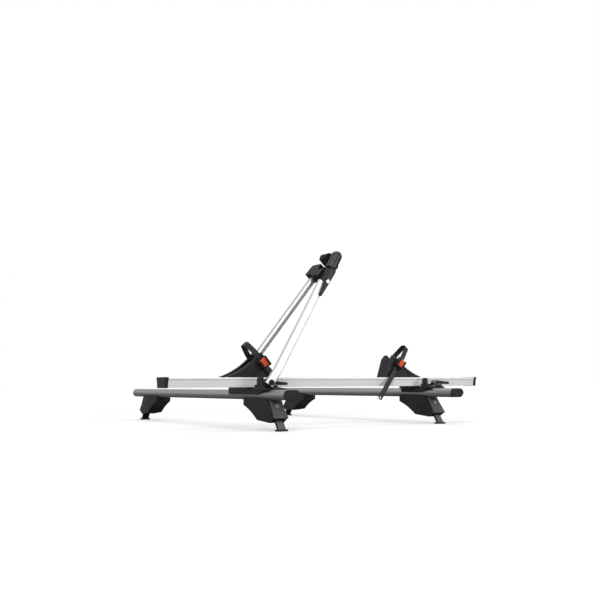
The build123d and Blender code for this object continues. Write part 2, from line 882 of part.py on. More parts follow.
def pivot_ear(face_offset, side_sign):
    """An ear with its stiffening web, for the leg that stands outside the given offset."""
    pivot_place = (-pivot_setback, pivot_z)
    foot_z = rail_bottom - bracket_corner / 2
    profile = outline(
        (-pivot_setback - ear_foot_front, foot_z),
        (-pivot_setback + ear_foot_rear, foot_z),
        (-pivot_setback + ear_radius, pivot_z),
        (-pivot_setback - ear_radius, pivot_z),
    ) + Pos(*pivot_place) * Circle(ear_radius)
    inner_offset = face_offset - ear_thickness
    y_low, y_high = sorted((side_sign * face_offset, side_sign * inner_offset))
    ear = along_y(profile, y_low, y_high)
    web_low, web_high = sorted((side_sign * inner_offset, side_sign * (inner_offset - web_width)))
    web_top = rail_bottom + web_height
    web_front = -pivot_setback - ear_foot_front
    web = block(web_front, web_front + web_thickness, web_low, web_high, foot_z, web_top)
    inner_edge = web.edges().filter_by(Axis.X).sort_by(Axis.Z)[-2:].sort_by(Axis.Y)
    web = fillet(inner_edge[-1 if side_sign < 0 else 0], web_round)
    return ear + web


near_ear_offset = near_leg_offset - near_leg_thickness / 2 - bush_flange_height
far_ear_offset = far_leg_offset - far_leg_radius - bush_flange_height


def front_bracket():
    """The front base bracket, which also carries the arm's two pivots."""
    body = bracket_body(
        front_bracket_near_reach, front_skirt_reach,
        front_plate_reach, front_end_slope, front_bracket_far_reach)
    body += bracket_guides() + lever_boss()
    body += pivot_ear(near_ear_offset, -1)
    body += pivot_ear(far_ear_offset, 1)
    near_swing = math.hypot(leg_end_margin + leg_plug_face, near_leg_width / 2) + edge_round
    far_swing = math.hypot(leg_end_margin + leg_plug_face, far_leg_radius) + edge_round
    pivot_place = (-pivot_setback, 0, pivot_z)
    near_start = Vector(*pivot_place) - Vector(0, near_ear_offset, 0)
    far_start = Vector(*pivot_place) + Vector(0, far_ear_offset, 0)
    body -= rod(near_start, (0, -1, 0), near_leg_thickness + pivot_head_height + overrun, near_swing)
    body -= rod(far_start, (0, 1, 0), 2 * far_leg_radius + pivot_head_height + overrun, far_swing)
    for start, direction in ((near_start, (0, 1, 0)), (far_start, (0, -1, 0))):
        body -= rod(start, direction, ear_thickness + overrun, pivot_bolt_radius + running_gap)
    for cut in bracket_holes():
        body -= cut
    return Pos(front_bar_x, rail_y, 0) * body


def rear_bracket():
    """The rear base bracket, ribbed along its far stretch."""
    body = bracket_body(
        rear_bracket_near_reach, rear_skirt_reach, rear_plate_reach, rear_end_slope, rear_bracket_far_reach)
    body += bracket_guides() + lever_boss() + rear_wall()
    front = -bar_width / 2 - bracket_side
    for index in range(rib_count):
        y = rib_first_offset + index * rib_pitch
        body -= block(
            front - overrun, front + rib_groove_depth, y, y + rib_groove, bar_underside, rail_top)
        body -= block(
            front - overrun, front + rib_top_reach, y, y + rib_groove,
            rail_bottom - rib_groove_depth, rail_top)
    for cut in bracket_holes():
        body -= cut
    return Pos(rear_bar_x, rail_y, 0) * body


def rail_bolts(bar_x):
    """T-bolts that hang in the rail's slot, with nuts in the bracket's pockets."""
    head_low = rail_bottom + rail_wall
    pieces = []
    for x in t_bolt_places():
        place = (bar_x + x, rail_y)
        shank_low = bar_top + seat_gap
        bolt = rod((*place, shank_low), (0, 0, 1), head_low - shank_low, rail_bolt_radius)
        bolt += Pos(*place, head_low + rail_bolt_head_height / 2) * Box(
            rail_bolt_head, rail_bolt_head, rail_bolt_head_height)
        nut = hex_bar((*place, shank_low), (0, 0, 1), rail_nut_height, rail_nut_across)
        nut -= rod((*place, shank_low - overrun), (0, 0, 1), rail_nut_height + 2 * overrun,
                   rail_bolt_radius + running_gap)
        pieces += [bolt, nut]
    return pieces


def slot_head(bar_x, y):
    """The flat head of a T-bolt, up against the lips of the bar's slot."""
    high = bar_top - bar_slot_lip
    return Pos(bar_x + slot_shift, rail_y + y, high - bracket_bolt_head_height / 2) * Box(
        bracket_bolt_head_length, bracket_bolt_head_width, bracket_bolt_head_height)


def far_bolt(bar_x):
    """The far T-bolt of a bracket and its domed nut."""
    low = bar_top - bar_slot_lip
    x = bar_x + slot_shift
    y = rail_y + bracket_bolt_offset
    thread_top = rail_bottom + dome_nut_height / 2
    bolt = slot_head(bar_x, bracket_bolt_offset)
    bolt += rod((x, y, low), (0, 0, 1), thread_top - low, bracket_bolt_radius)
    nut = hex_bar((x, y, rail_bottom), (0, 0, 1), dome_nut_height * 2 / 3, dome_nut_across)
    nut += rod((x, y, rail_bottom), (0, 0, 1), dome_nut_height, dome_nut_across / 2 - edge_round)
    nut = fillet(nut.faces().sort_by(Axis.Z)[-1].edges(), edge_round)
    nut -= rod((x, y, rail_bottom - overrun), (0, 0, 1),
               thread_top - rail_bottom + overrun + seat_gap, bracket_bolt_radius + running_gap)
    return [bolt, nut]


cam_pin_z = rail_bottom + cam_pin_height


def cam_bolt(bar_x):
    """The near T-bolt, with a flat eye for the cam lever's pin, and its washer."""
    low = bar_top - bar_slot_lip
    x = bar_x + slot_shift
    y = rail_y - bracket_bolt_offset
    bolt = slot_head(bar_x, -bracket_bolt_offset)
    bolt += rod((x, y, low), (0, 0, 1), cam_pin_z - cam_eye_radius / 2 - low, bracket_bolt_radius)
    bolt = bolt & block(
        x - bar_width, x + bar_width, y - bracket_bolt_head_width, y + bracket_bolt_head_width,
        bar_underside, rail_bottom + cam_washer_height) + bolt & block(
        x - bar_width, x + bar_width, y - cam_eye_thickness / 2, y + cam_eye_thickness / 2,
        bar_underside, rail_top)
    eye = rod((x, y - cam_eye_thickness / 2, cam_pin_z), (0, 1, 0), cam_eye_thickness, cam_eye_radius)
    bolt += eye
    bolt -= rod(
        (x, y - cam_lever_width, cam_pin_z), (0, 1, 0), 2 * cam_lever_width, cam_pin_radius + running_gap)
    washer = rod((x, y, rail_bottom), (0, 0, 1), cam_washer_height, cam_washer_radius)
    washer -= rod((x, y, rail_bottom - overrun), (0, 0, 1), cam_washer_height + 2 * overrun,
                  bracket_bolt_radius + running_gap)
    return [bolt, washer]


def cam_pin(bar_x):
    """The steel pin through the cam lever and the bolt's eye."""
    y = rail_y - bracket_bolt_offset
    start = (bar_x + slot_shift, y - cam_lever_width / 2, cam_pin_z)
    return rod(start, (0, 1, 0), cam_lever_width, cam_pin_radius)


def cam_lever(bar_x):
    """A forked lever whose eccentric head presses on the washer, folded down to the rear."""
    x = bar_x + slot_shift
    y = rail_y - bracket_bolt_offset
    cam_z = rail_bottom + cam_washer_height + seat_gap + cam_radius
    tip_x = x + cam_offset + cam_lever_length
    tip_z = cam_pin_z - cam_lever_tip_drop
    half_tip = cam_lever_thickness / 2
    root_low = cam_z + cam_radius - cam_root_thickness
    blade = make_face([
        Line((x + cam_offset, cam_z + cam_radius), (x + cam_offset + cam_radius, cam_z + cam_radius)),
        Line((x + cam_offset + cam_radius, cam_z + cam_radius), (tip_x, tip_z + half_tip)),
        ThreePointArc((tip_x, tip_z + half_tip), (tip_x + half_tip, tip_z), (tip_x, tip_z - half_tip)),
        Line((tip_x, tip_z - half_tip), (x + cam_offset + cam_radius, root_low)),
        Line((x + cam_offset + cam_radius, root_low), (x + cam_offset, root_low)),
        Line((x + cam_offset, root_low), (x + cam_offset, cam_z + cam_radius)),
    ])
    head = Pos(x + cam_offset, cam_z) * Circle(cam_radius)
    lever = along_y(blade + head, y - cam_lever_width / 2, y + cam_lever_width / 2)
    slot_half = cam_eye_thickness / 2 + seat_gap
    slot_end = x + cam_eye_radius + edge_round
    lever -= block(x - 2 * cam_radius, slot_end, y - slot_half, y + slot_half,
                   cam_z - 2 * cam_radius, cam_z + 2 * cam_radius)
    return lever - rod((x, y - cam_lever_width, cam_pin_z), (0, 1, 0), 2 * cam_lever_width,
                       cam_pin_radius + running_gap)


# The near leg's path: square to its pivot, leaning inwards, then up the head's socket
near_mouth = head_point(-near_leg_shift, -near_mouth_reach, near_leg_top_offset)
near_top = head_point(-near_leg_shift, -near_top_reach, near_leg_top_offset)
far_mouth_centre = Vector(grip_x, rail_y + far_leg_top_offset, grip_z) - above_tube * (
    fixed_jaw_far_bottom + far_leg_mouth_reach)
near_lean = math.atan2(near_mouth.Z - pivot_z, near_mouth.X - pivot_x)
far_lean = math.atan2(far_mouth_centre.Z - pivot_z, far_mouth_centre.X - pivot_x)
near_foot_direction = Vector(math.cos(near_lean), 0, math.sin(near_lean))
far_foot_direction = Vector(math.cos(far_lean), 0, math.sin(far_lean))
near_pivot = Vector(pivot_x, rail_y - near_leg_offset, pivot_z)
far_pivot = Vector(pivot_x, rail_y + far_leg_offset, pivot_z)
far_top = far_mouth_centre + above_tube * (far_leg_mouth_reach + far_leg_socket_depth)


def leg_path(pivot, direction, mouth, top):
    """A leg's centre line, from below its pivot to inside its socket."""
    start = pivot - direction * leg_end_margin
    knee = pivot + direction * leg_foot_straight
    return FilletPolyline(start, knee, mouth, top, radius=leg_bend_radius)


def leg_tube(path, direction, outer, inner):
    """A tube of the given outer and inner sections along a leg's path."""
    start = path @ 0
    plane = Plane(origin=start, x_dir=Vector(direction.Z, 0, -direction.X), z_dir=direction)
    return sweep(plane * outer, path=path) - sweep(plane * inner, path=path)


def pivot_cut(pivot, radius, half_length):
    return rod(pivot - Vector(0, half_length, 0), (0, 1, 0), 2 * half_length, radius)


bush_radius = pivot_bolt_radius + running_gap + bush_wall


def near_leg():
    """The bright near leg, a flat oval aluminium tube."""
    path = leg_path(near_pivot, near_foot_direction, near_mouth, near_top)
    outer = SlotOverall(near_leg_width, near_leg_thickness)
    inner = SlotOverall(near_leg_width - 2 * near_leg_wall, near_leg_thickness - 2 * near_leg_wall)
    tube = leg_tube(path, near_foot_direction, outer, inner)
    tube -= pivot_cut(near_pivot, bush_radius + running_gap, near_leg_thickness)
    return tube - near_leg_screw(running_gap)


def far_leg():
    """The far leg, a round silver tube."""
    path = leg_path(far_pivot, far_foot_direction, far_mouth_centre, far_top)
    tube = leg_tube(path, far_foot_direction, Circle(far_leg_radius), Circle(far_leg_radius - far_leg_wall))
    tube -= pivot_cut(far_pivot, bush_radius + running_gap, 2 * far_leg_radius)
    return tube - far_leg_screw(running_gap)


def leg_plugs():
    """Plastic plugs in the legs' lower ends."""
    pieces = []
    near_end = near_pivot - near_foot_direction * leg_end_margin
    far_end = far_pivot - far_foot_direction * leg_end_margin
    near_inner = SlotOverall(
        near_leg_width - 2 * near_leg_wall - seat_gap, near_leg_thickness - 2 * near_leg_wall - seat_gap)
    sections = (
        (near_end, near_foot_direction, SlotOverall(near_leg_width, near_leg_thickness), near_inner),
        (
            far_end, far_foot_direction, Circle(far_leg_radius),
            Circle(far_leg_radius - far_leg_wall - seat_gap)),
    )
    for end, direction, outer, inner in sections:
        plane = Plane(origin=end, x_dir=Vector(direction.Z, 0, -direction.X), z_dir=direction)
        plug = extrude(plane * outer, amount=leg_plug_face, dir=-direction)
        plug += extrude(plane * inner, amount=leg_plug_depth, dir=direction)
        pieces.append(plug)
    return pieces


def bush(pivot, half_thickness, side_sign):
    """A flanged nylon bush through a leg, its flange towards the ear."""
    inner_face = pivot - Vector(0, side_sign * half_thickness, 0)
    out = Vector(0, side_sign, 0)
    body = rod(inner_face, out, 2 * half_thickness, bush_radius)
    body += rod(inner_face, -out, bush_flange_height, bush_flange_radius)
    start = inner_face - out * (bush_flange_height + overrun)
    return body - rod(start, out, 2 * half_thickness + 2 * overrun, pivot_bolt_radius + running_gap)


def pivot_bolt(pivot, half_thickness, side_sign):
    """A pivot bolt from outside the leg to a nut inside the ear, with a washer."""
    out = Vector(0, side_sign, 0)
    leg_face = pivot + out * (half_thickness + seat_gap)
    head_face = leg_face + out * pivot_washer_height
    ear_inner = pivot - out * (half_thickness + bush_flange_height + ear_thickness)
    length = (head_face - ear_inner).length + pivot_nut_height
    bolt = rod(head_face, -out, length, pivot_bolt_radius)
    bolt += hex_bar(head_face, out, pivot_head_height, pivot_head_across)
    washer = rod(leg_face, out, pivot_washer_height, pivot_washer_radius)
    washer -= rod(leg_face - out * overrun, out, 2 * overrun, pivot_bolt_radius + running_gap)
    nut = hex_bar(ear_inner, -out, pivot_nut_height, pivot_head_across)
    nut -= rod(
        ear_inner + out * overrun, -out, pivot_nut_height + 2 * overrun, pivot_bolt_radius + running_gap)
    return [bolt, washer, nut]


def head_outline():
    """The head body's side view: a slim leg clasp that widens to the clamp."""
    return outline(
        (head_foot_left, -head_bottom_reach),
        (head_foot_right, -head_bottom_reach),
        (head_waist_right, -head_waist_reach),
        (head_right, -head_shoulder_reach),
        (head_right, -head_top_drop),
        (head_left, -head_top_drop),
        (head_left, -head_left_knee),
    )


def head_undercut():
    """What the head's inner side lacks towards its foot, where it slopes out to the leg."""
    plane = Plane(origin=head_point(0, 0), x_dir=outward, z_dir=-across_body)
    wedge = outline(
        (head_inner_offset - overrun, -head_inner_knee),
        (head_inner_offset, -head_inner_knee),
        (head_foot_offset, -head_bottom_reach),
        (head_foot_offset, -head_bottom_reach - overrun),
        (head_inner_offset - overrun, -head_bottom_reach - overrun))
    return extrude(plane * wedge, amount=head_bottom_reach, both=True)


def nut_room():
    """The space inside the head in which the jaw's threaded tab travels."""
    half = jaw_tab_half + seat_gap
    low = -jaw_slider_down - seat_gap
    high = -jaw_slider_down + jaw_tab_height + jaw_travel + seat_gap
    room = outline(
        (-head_axis_shift - half, low), (-head_axis_shift + half, low),
        (-head_axis_shift + half, high), (-head_axis_shift - half, high))
    return head_slab(
        room, head_inner_offset + jaw_slider_inset, near_leg_top_offset + jaw_tab_beyond_screw + seat_gap)


def slider_room():
    """The groove in the head's inner side for the moving jaw's slider, open at the top."""
    half = jaw_slider_half + seat_gap
    low = -jaw_slider_down - seat_gap
    groove = outline(
        (-head_axis_shift - half, low), (-head_axis_shift + half, low),
        (-head_axis_shift + half, overrun), (-head_axis_shift - half, overrun))
    depth = jaw_slider_inset + jaw_slider_thickness + seat_gap
    return head_slab(groove, head_inner_offset - overrun, head_inner_offset + depth)


def jaw_bolts(gap=0):
    """Two socket bolts from the head's near face into the far jaw."""
    pieces = []
    for drop in (jaw_bolt_upper_drop, jaw_bolt_lower_drop):
        start = head_point(jaw_bolt_across, -drop, head_near_offset - jaw_bolt_head_height)
        length = head_near_offset - jaw_bolt_head_height - head_inner_offset + jaw_bolt_depth
        bolt = rod(start, -outward, length, jaw_bolt_radius + gap)
        bolt += rod(
            start, outward, jaw_bolt_head_height + (overrun if gap else 0), jaw_bolt_head_radius + gap)
        pieces.append(bolt)
    return pieces


def near_leg_screw(gap=0):
    """The screw that holds the near leg in its socket."""
    start = head_point(-near_screw_shift, -near_screw_drop, head_near_offset)
    screw = rod(start, -outward, leg_screw_length, leg_screw_radius + gap)
    return screw + rod(
        start, outward, leg_screw_head_height + (overrun if gap else 0), leg_screw_head_radius + gap)


def far_leg_screw(gap=0):
    """The screw that holds the far leg in the far jaw."""
    start = far_mouth_centre + above_tube * (far_leg_mouth_reach + leg_screw_up)
    start = Vector(start.X, rail_y + fixed_jaw_far, start.Z)
    screw = rod(start, outward, far_screw_length, leg_screw_radius + gap)
    return screw + rod(
        start, -outward, leg_screw_head_height + (overrun if gap else 0), leg_screw_head_radius + gap)


def head_body():
    """The near half of the clamp head: leg socket, slider groove and screw housing."""
    body = head_slab(head_outline(), head_inner_offset, head_near_offset)
    near_edges = body.faces().sort_by(Axis.Y)[0].edges()
    body = fillet(near_edges, head_round) - head_undercut()
    path = leg_path(near_pivot, near_foot_direction, near_mouth, near_top)
    plane = Plane(
        origin=path @ 0, x_dir=Vector(near_foot_direction.Z, 0, -near_foot_direction.X),
        z_dir=near_foot_direction)
    socket = SlotOverall(near_leg_width + 2 * running_gap, near_leg_thickness + 2 * running_gap)
    body -= sweep(plane * socket, path=path)
    body -= nut_room()
    body -= slider_room()
    screw_start = head_point(-head_axis_shift, -jaw_slider_down, near_leg_top_offset)
    body -= rod(screw_start, up_body, jaw_slider_down, screw_radius + running_gap)
    body -= rod(
        head_lock_point(overrun), -outward, head_lock_length + overrun, head_lock_radius + running_gap)
    body -= near_leg_screw(running_gap)
    for bolt in jaw_bolts(running_gap):
        body -= bolt
    return body


def head_lock_point(stand):
    return head_point(-head_axis_shift + head_lock_across, -head_lock_down, head_near_offset + stand)


def head_lock():
    """A bright lock barrel in the head's near face, with a plain key slot."""
    start = head_lock_point(head_lock_stand)
    barrel = rod(start, -outward, head_lock_length + head_lock_stand, head_lock_radius)
    face = Plane(origin=start, x_dir=across_body, z_dir=outward)
    return barrel - face * Box(keyway_width, keyway_height, 2 * keyway_depth)


ring_radius = frame_tube_radius + jaw_pad_thickness


def fixed_jaw():
    """The far jaw: a moulded cradle below the tube and a block on the far leg's end."""
    near = -head_inner_offset
    plane = Plane(
        origin=Vector(grip_x, rail_y, grip_z) - along_tube * fixed_jaw_front,
        x_dir=(0, 1, 0), z_dir=along_tube)
    section = outline(
        (near, -fixed_jaw_bottom),
        (ring_radius, -fixed_jaw_bottom),
        (far_leg_top_offset - far_leg_radius, -fixed_jaw_far_bottom),
        (fixed_jaw_far, -fixed_jaw_far_bottom),
        (fixed_jaw_far, fixed_jaw_top),
        (ring_radius + fixed_jaw_mouth_chamfer, fixed_jaw_top),
        (ring_radius, fixed_jaw_top - fixed_jaw_mouth_chamfer),
        (ring_radius, -fixed_near_drop),
        (near, -fixed_near_drop),
    )
    corners = section.vertices().group_by(Axis.X)[-1]
    section = fillet(corners, fixed_jaw_round)
    section -= Circle(ring_radius + running_gap)
    jaw = extrude(plane * section, amount=fixed_jaw_front + fixed_jaw_rear, dir=along_tube)
    socket_start = far_mouth_centre
    socket = rod(
        socket_start, above_tube, far_leg_mouth_reach + far_leg_socket_depth, far_leg_radius + running_gap)
    jaw -= socket
    jaw -= far_leg_screw(running_gap)
    for bolt in jaw_bolts(running_gap):
        jaw -= bolt
    return jaw


def pad_ring(start_angle, sweep_angle, along_low, along_high):
    """A curved rubber pad around the tube's axis, between two places along the tube."""
    steps = 2
    points = []
    for radius, order in ((frame_tube_radius, 1), (ring_radius, -1)):
        arc = []
        for index in range(steps + 1)[::order]:
            angle = math.radians(start_angle + sweep_angle * index / steps)
            arc.append((radius * math.cos(angle), radius * math.sin(angle)))
        points.append(arc)
    face = make_face([
        ThreePointArc(*points[0]),
        Line(points[0][-1], points[1][0]),
        ThreePointArc(*points[1]),
        Line(points[1][-1], points[0][0]),
    ])
    plane = Plane(
        origin=Vector(grip_x, rail_y, grip_z) + along_tube * along_low, x_dir=(0, 1, 0), z_dir=along_tube)
    return extrude(plane * face, amount=along_high - along_low, dir=along_tube)


def fixed_jaw_pad():
    """The rubber lining of the far jaw's cradle."""
    start = fixed_pad_start_angle
    return pad_ring(start, fixed_pad_sweep_angle, -fixed_jaw_front, fixed_jaw_rear)


def moving_jaw_pad():
    """The rubber lining under the moving jaw."""
    return pad_ring(90 - jaw_pad_half_angle, 2 * jaw_pad_half_angle, -jaw_pad_front, -jaw_pad_rear)


def moving_jaw():
    """The upper jaw: a rounded nose over the tube, on a slider with a threaded tab."""
    nose = make_hull([
        *(Pos(-jaw_nose_front, jaw_nose_rise) * Circle(jaw_nose_radius)).edges(),
        *(
            Pos(jaw_heel_rear, jaw_nose_rise - jaw_nose_radius + jaw_heel_radius)
            * Circle(jaw_heel_radius)).edges(),
    ])
    slider_low = head_inner_offset + jaw_slider_inset
    slider_high = slider_low + jaw_slider_thickness
    jaw = tube_slab(nose, -jaw_nose_far, slider_high)
    rib_step = 2 * jaw_nose_radius / nose_rib_count
    for index in range(nose_rib_count - 1):
        across = -jaw_nose_radius + (index + 1) * rib_step
        place = along_tube * (-jaw_nose_front - jaw_nose_radius) + above_tube * (jaw_nose_rise + across)
        groove = Plane(
            origin=Vector(grip_x + place.X, rail_y, grip_z + place.Z), x_dir=along_tube, z_dir=above_tube)
        jaw -= groove * Box(2 * nose_rib_depth + jaw_nose_radius * abs(across) / jaw_nose_radius,
                            4 * jaw_nose_radius, nose_rib_width - edge_round)
    slider = outline(
        (-head_axis_shift - jaw_slider_half, -jaw_slider_down),
        (-head_axis_shift + jaw_slider_half, -jaw_slider_down),
        (-head_axis_shift + jaw_slider_half, jaw_slider_up),
        (-head_axis_shift - jaw_slider_half, jaw_slider_up))
    jaw += head_slab(slider, slider_low, slider_high)
    tab = outline(
        (-head_axis_shift - jaw_tab_half, -jaw_slider_down),
        (-head_axis_shift + jaw_tab_half, -jaw_slider_down),
        (-head_axis_shift + jaw_tab_half, -jaw_slider_down + jaw_tab_height),
        (-head_axis_shift - jaw_tab_half, -jaw_slider_down + jaw_tab_height))
    jaw += head_slab(tab, slider_low, near_leg_top_offset + jaw_tab_beyond_screw)
    screw_start = head_point(-head_axis_shift, -head_bottom_reach, near_leg_top_offset)
    jaw -= rod(screw_start, up_body, head_bottom_reach, screw_radius + running_gap)
    plane = Plane(
        origin=Vector(grip_x, rail_y, grip_z) - along_tube * (2 * jaw_pad_front),
        x_dir=(0, 1, 0), z_dir=along_tube)
    return jaw - plane * Cylinder(
        ring_radius + running_gap, 4 * jaw_pad_front, align=(Align.CENTER, Align.CENTER, Align.MIN))


def clamp_screw():
    """The screw that the knob turns."""
    start = head_point(-head_axis_shift, -screw_end_reach, near_leg_top_offset)
    length = screw_end_reach - head_top_drop + knob_height / 2
    return rod(start, up_body, length, screw_radius)


def clamp_knob():
    """The tall domed knob at the top of the head, fluted for grip."""
    knob = Cylinder(knob_radius, knob_height, align=(Align.CENTER, Align.CENTER, Align.MIN))
    knob = fillet(knob.edges().sort_by(Axis.Z)[-1], knob_dome)
    knob = chamfer(knob.edges().sort_by(Axis.Z)[0], knob_foot_height)
    for index in range(knob_flute_count):
        angle = math.radians(360 * index / knob_flute_count)
        reach = knob_radius + knob_flute_radius - knob_flute_sink
        centre = Vector(reach * math.cos(angle), reach * math.sin(angle), knob_flute_bottom)
        knob -= rod(centre, (0, 0, 1), knob_height, knob_flute_radius)
    knob -= rod((0, 0, -overrun), (0, 0, 1), knob_height / 2 + overrun, screw_radius + running_gap)
    place = head_point(-head_axis_shift, -head_top_drop + seat_gap, near_leg_top_offset)
    return Plane(origin=place, x_dir=across_body, z_dir=up_body) * knob


def holder_side():
    """The holder's side view: a wedge with a concave top under the wheel and a sloping back."""
    tip = (0, rail_top + holder_tip_height)
    top = (holder_top_reach, rail_top + holder_top_height)
    middle = (
        (tip[0] + top[0]) / 2,
        (tip[1] + top[1]) / 2 - holder_cheek_sag,
    )
    low = rail_top + seat_gap
    side = make_face([
        Line((0, low), tip),
        ThreePointArc(tip, middle, top),
        Line(top, (holder_shoulder_reach, rail_top + holder_shoulder_height)),
        Line((holder_shoulder_reach, rail_top + holder_shoulder_height), (holder_length, low)),
        Line((holder_length, low), (0, low)),
    ])
    return fillet(side.vertices().sort_by(Axis.Y)[-2:], holder_corner_round)


def holder_panel():
    """The sunk triangular panel on a cheek."""
    margin = holder_panel_margin
    return outline(
        (holder_length / 3, rail_top + margin),
        (holder_bolt_first + margin, rail_top + margin),
        (holder_bolt_first + margin, rail_top + holder_top_height / 2),
    )


def wheel_holder():
    """A wheel chock, its tip at zero and its back towards plus X, on the rail's plane."""
    half = holder_width / 2
    body = along_y(holder_side(), -half, half)
    top_edges = body.edges().filter_by(lambda edge: edge.center().Z > rail_top + holder_tip_height)
    side_edges = top_edges.filter_by(lambda edge: abs(abs(edge.center().Y) - half) < seat_gap)
    body = fillet(side_edges, holder_edge_round)
    groove_half = holder_groove_width / 2
    centre = (-front_holder_lead, -groove_half, wheel_centre_z)
    body -= rod(centre, (0, 1, 0), holder_groove_width, wheel_radius + holder_groove_gap)
    for side_sign in (-1, 1):
        y_low, y_high = sorted((side_sign * (half - holder_panel_depth), side_sign * (half + overrun)))
        body -= along_y(holder_panel(), y_low, y_high)
    keel_half = rail_side_width(rail_height - rail_wall) - rail_wall - rail_lip_inward - holder_keel_gap
    keel_start = holder_length - holder_keel_length
    body += block(keel_start, holder_length - edge_round, -keel_half, keel_half,
                  rail_top - holder_keel_depth, rail_top + seat_gap)
    for bolt in holder_bolt_places():
        head_z = rail_top + holder_bolt_floor
        body -= rod((bolt, 0, rail_bottom), (0, 0, 1), rail_height + holder_bolt_floor,
                    holder_bolt_radius + running_gap)
        body -= rod(
            (bolt, 0, head_z), (0, 0, 1), holder_top_height + overrun, holder_bolt_head_radius + seat_gap)
    return body


def holder_bolt_places():
    return (holder_bolt_first, holder_bolt_first + holder_bolt_pitch)


def clamp_plate():
    """The steel plate under the rail's lips that the holder's bolts draw up."""
    high = rail_top - rail_wall - clamp_plate_gap
    side = rail_side_width(rail_height - rail_wall - clamp_plate_thickness)
    half = side - rail_wall - clamp_plate_side_gap
    middle = holder_bolt_first + holder_bolt_pitch / 2
    plate = block(
        middle - clamp_plate_length / 2, middle + clamp_plate_length / 2, -half, half,
        high - clamp_plate_thickness, high)
    for bolt in holder_bolt_places():
        plate -= rod((bolt, 0, rail_bottom), (0, 0, 1), rail_height, holder_bolt_radius + running_gap)
    return plate


def holder_bolts():
    """Socket bolts down through the holder into the clamp plate."""
    pieces = []
    for place in holder_bolt_places():
        head_z = rail_top + holder_bolt_floor
        low = rail_top - rail_wall - clamp_plate_gap - clamp_plate_thickness
        bolt = rod((place, 0, low), (0, 0, 1), head_z - low, holder_bolt_radius)
        bolt += rod((place, 0, head_z), (0, 0, 1), holder_bolt_head_height, holder_bolt_head_radius)
        pieces.append(bolt)
    return pieces


def strap_plane(lead, angle, along=0):
    """The plane of a strap's loop: across the carrier, and away from the wheel's centre."""
    turn = math.radians(angle)
    away = Vector(math.cos(turn), 0, -math.sin(turn))
    side = Vector(0, 1, 0).cross(away)
    return Plane(origin=Vector(-lead, 0, wheel_centre_z) + side * along, x_dir=(0, 1, 0), z_dir=side)


strap_run = holder_width / 2 + strap_clearance + strap_thickness / 2


def strap_points(shoulder_distance, tail_distance, tail_flare):
    """The strap's path, from its far anchor over the rim to the end of its tail."""
    return [
        (strap_run, strap_anchor_distance),
        (strap_run, shoulder_distance),
        (strap_top_half, strap_top_distance),
        (-strap_top_half, strap_top_distance),
        (-strap_run, shoulder_distance),
        (-strap_run, strap_tail_start),
        (-strap_run - strap_tail_shift, strap_tail_clear),
        (-strap_run - strap_tail_shift - tail_flare, tail_distance),
    ]


def wheel_strap(lead, angle, *distances):
    """A flat plastic strap, looped as it lies over a rim."""
    points = strap_points(*distances)
    sharp = strap_bend_radius
    gentle = strap_gentle_radius
    radii = [gentle, sharp, sharp, gentle, gentle, gentle]
    path = FilletPolyline(*points, radius=radii)
    half = strap_thickness / 2
    start = points[0]
    section = Plane(
        origin=(*start, 0), x_dir=(1, 0, 0), z_dir=(0, -1, 0)) * Rectangle(2 * half, strap_width)
    strap = sweep(section, path=path)
    tip = Vector(*points[-1], 0)
    run = (tip - Vector(*points[-2], 0)).normalized()
    hole_centre = tip - run * tail_hole_inset
    square = Vector(-run.Y, run.X, 0)
    strap -= rod(hole_centre - square * strap_thickness, square, 2 * strap_thickness, tail_hole_radius)
    anchor_hole = strap_run - strap_thickness
    anchor_distance = strap_anchor_distance - anchor_margin
    strap -= rod(
        (anchor_hole, anchor_distance, 0), (1, 0, 0), 2 * strap_thickness, rivet_radius + running_gap)
    return strap_plane(lead, angle).location * strap


buckle_face = strap_run + strap_thickness / 2 + strap_clearance


def buckle_body():
    """The buckle in the strap plane's axes, over the strap on the near side."""
    outer = buckle_face + buckle_height
    low = buckle_start
    high = buckle_start + buckle_length
    half = buckle_width / 2

    def part(away_low, away_high, y_low, y_high, across_low, across_high):
        return block(-y_high, -y_low, away_low, away_high, across_low, across_high)

    body = part(low, high, holder_width / 2 + seat_gap, outer, -half, half)
    body = fillet(body.edges().filter_by(Axis.Z).group_by(Axis.X)[0], buckle_round)
    strap_half = strap_width / 2 + strap_clearance
    body -= part(low - overrun, high + overrun, 0, buckle_face, -strap_half, strap_half)
    lever_half = half - buckle_ear
    body -= part(
        low - overrun, high + overrun, buckle_face + buckle_floor, outer + overrun, -lever_half, lever_half)
    pin_place = (-lever_pin_offset, buckle_start + lever_pin_inset, -buckle_width)
    body -= rod(pin_place, (0, 0, 1), 2 * buckle_width, lever_pin_radius + running_gap)
    for across in (-1, 1):
        body -= rivet(low + buckle_rivet_reach, across * (half - buckle_ear / 2 - seat_gap), running_gap)
    return body


lever_pin_offset = buckle_face + buckle_floor + lever_rest_gap + lever_eye_radius


def buckle_lever():
    """The release lever between the buckle's ears, hinged at its upper end."""
    half = buckle_width / 2 - buckle_ear - lever_side_gap
    pin_away = buckle_start + lever_pin_inset
    inner = buckle_face + buckle_floor + lever_rest_gap
    face = outline(
        (-inner, pin_away), (-inner - 2 * lever_eye_radius, pin_away),
        (-inner - lever_thickness - edge_round, pin_away + lever_length),
        (-inner - edge_round, pin_away + lever_length),
        (-inner, pin_away + lever_length * 2 / 3),
    ) + Pos(-lever_pin_offset, pin_away) * Circle(lever_eye_radius)
    lever = extrude(Pos(0, 0, -half) * face, amount=2 * half, dir=(0, 0, 1))
    return lever - rod((-lever_pin_offset, pin_away, -buckle_width), (0, 0, 1), 2 * buckle_width,
                       lever_pin_radius + running_gap)


def lever_pin():
    """The pin that the release lever turns on."""
    half = buckle_width / 2
    return rod(
        (-lever_pin_offset, buckle_start + lever_pin_inset, -half), (0, 0, 1), 2 * half, lever_pin_radius)


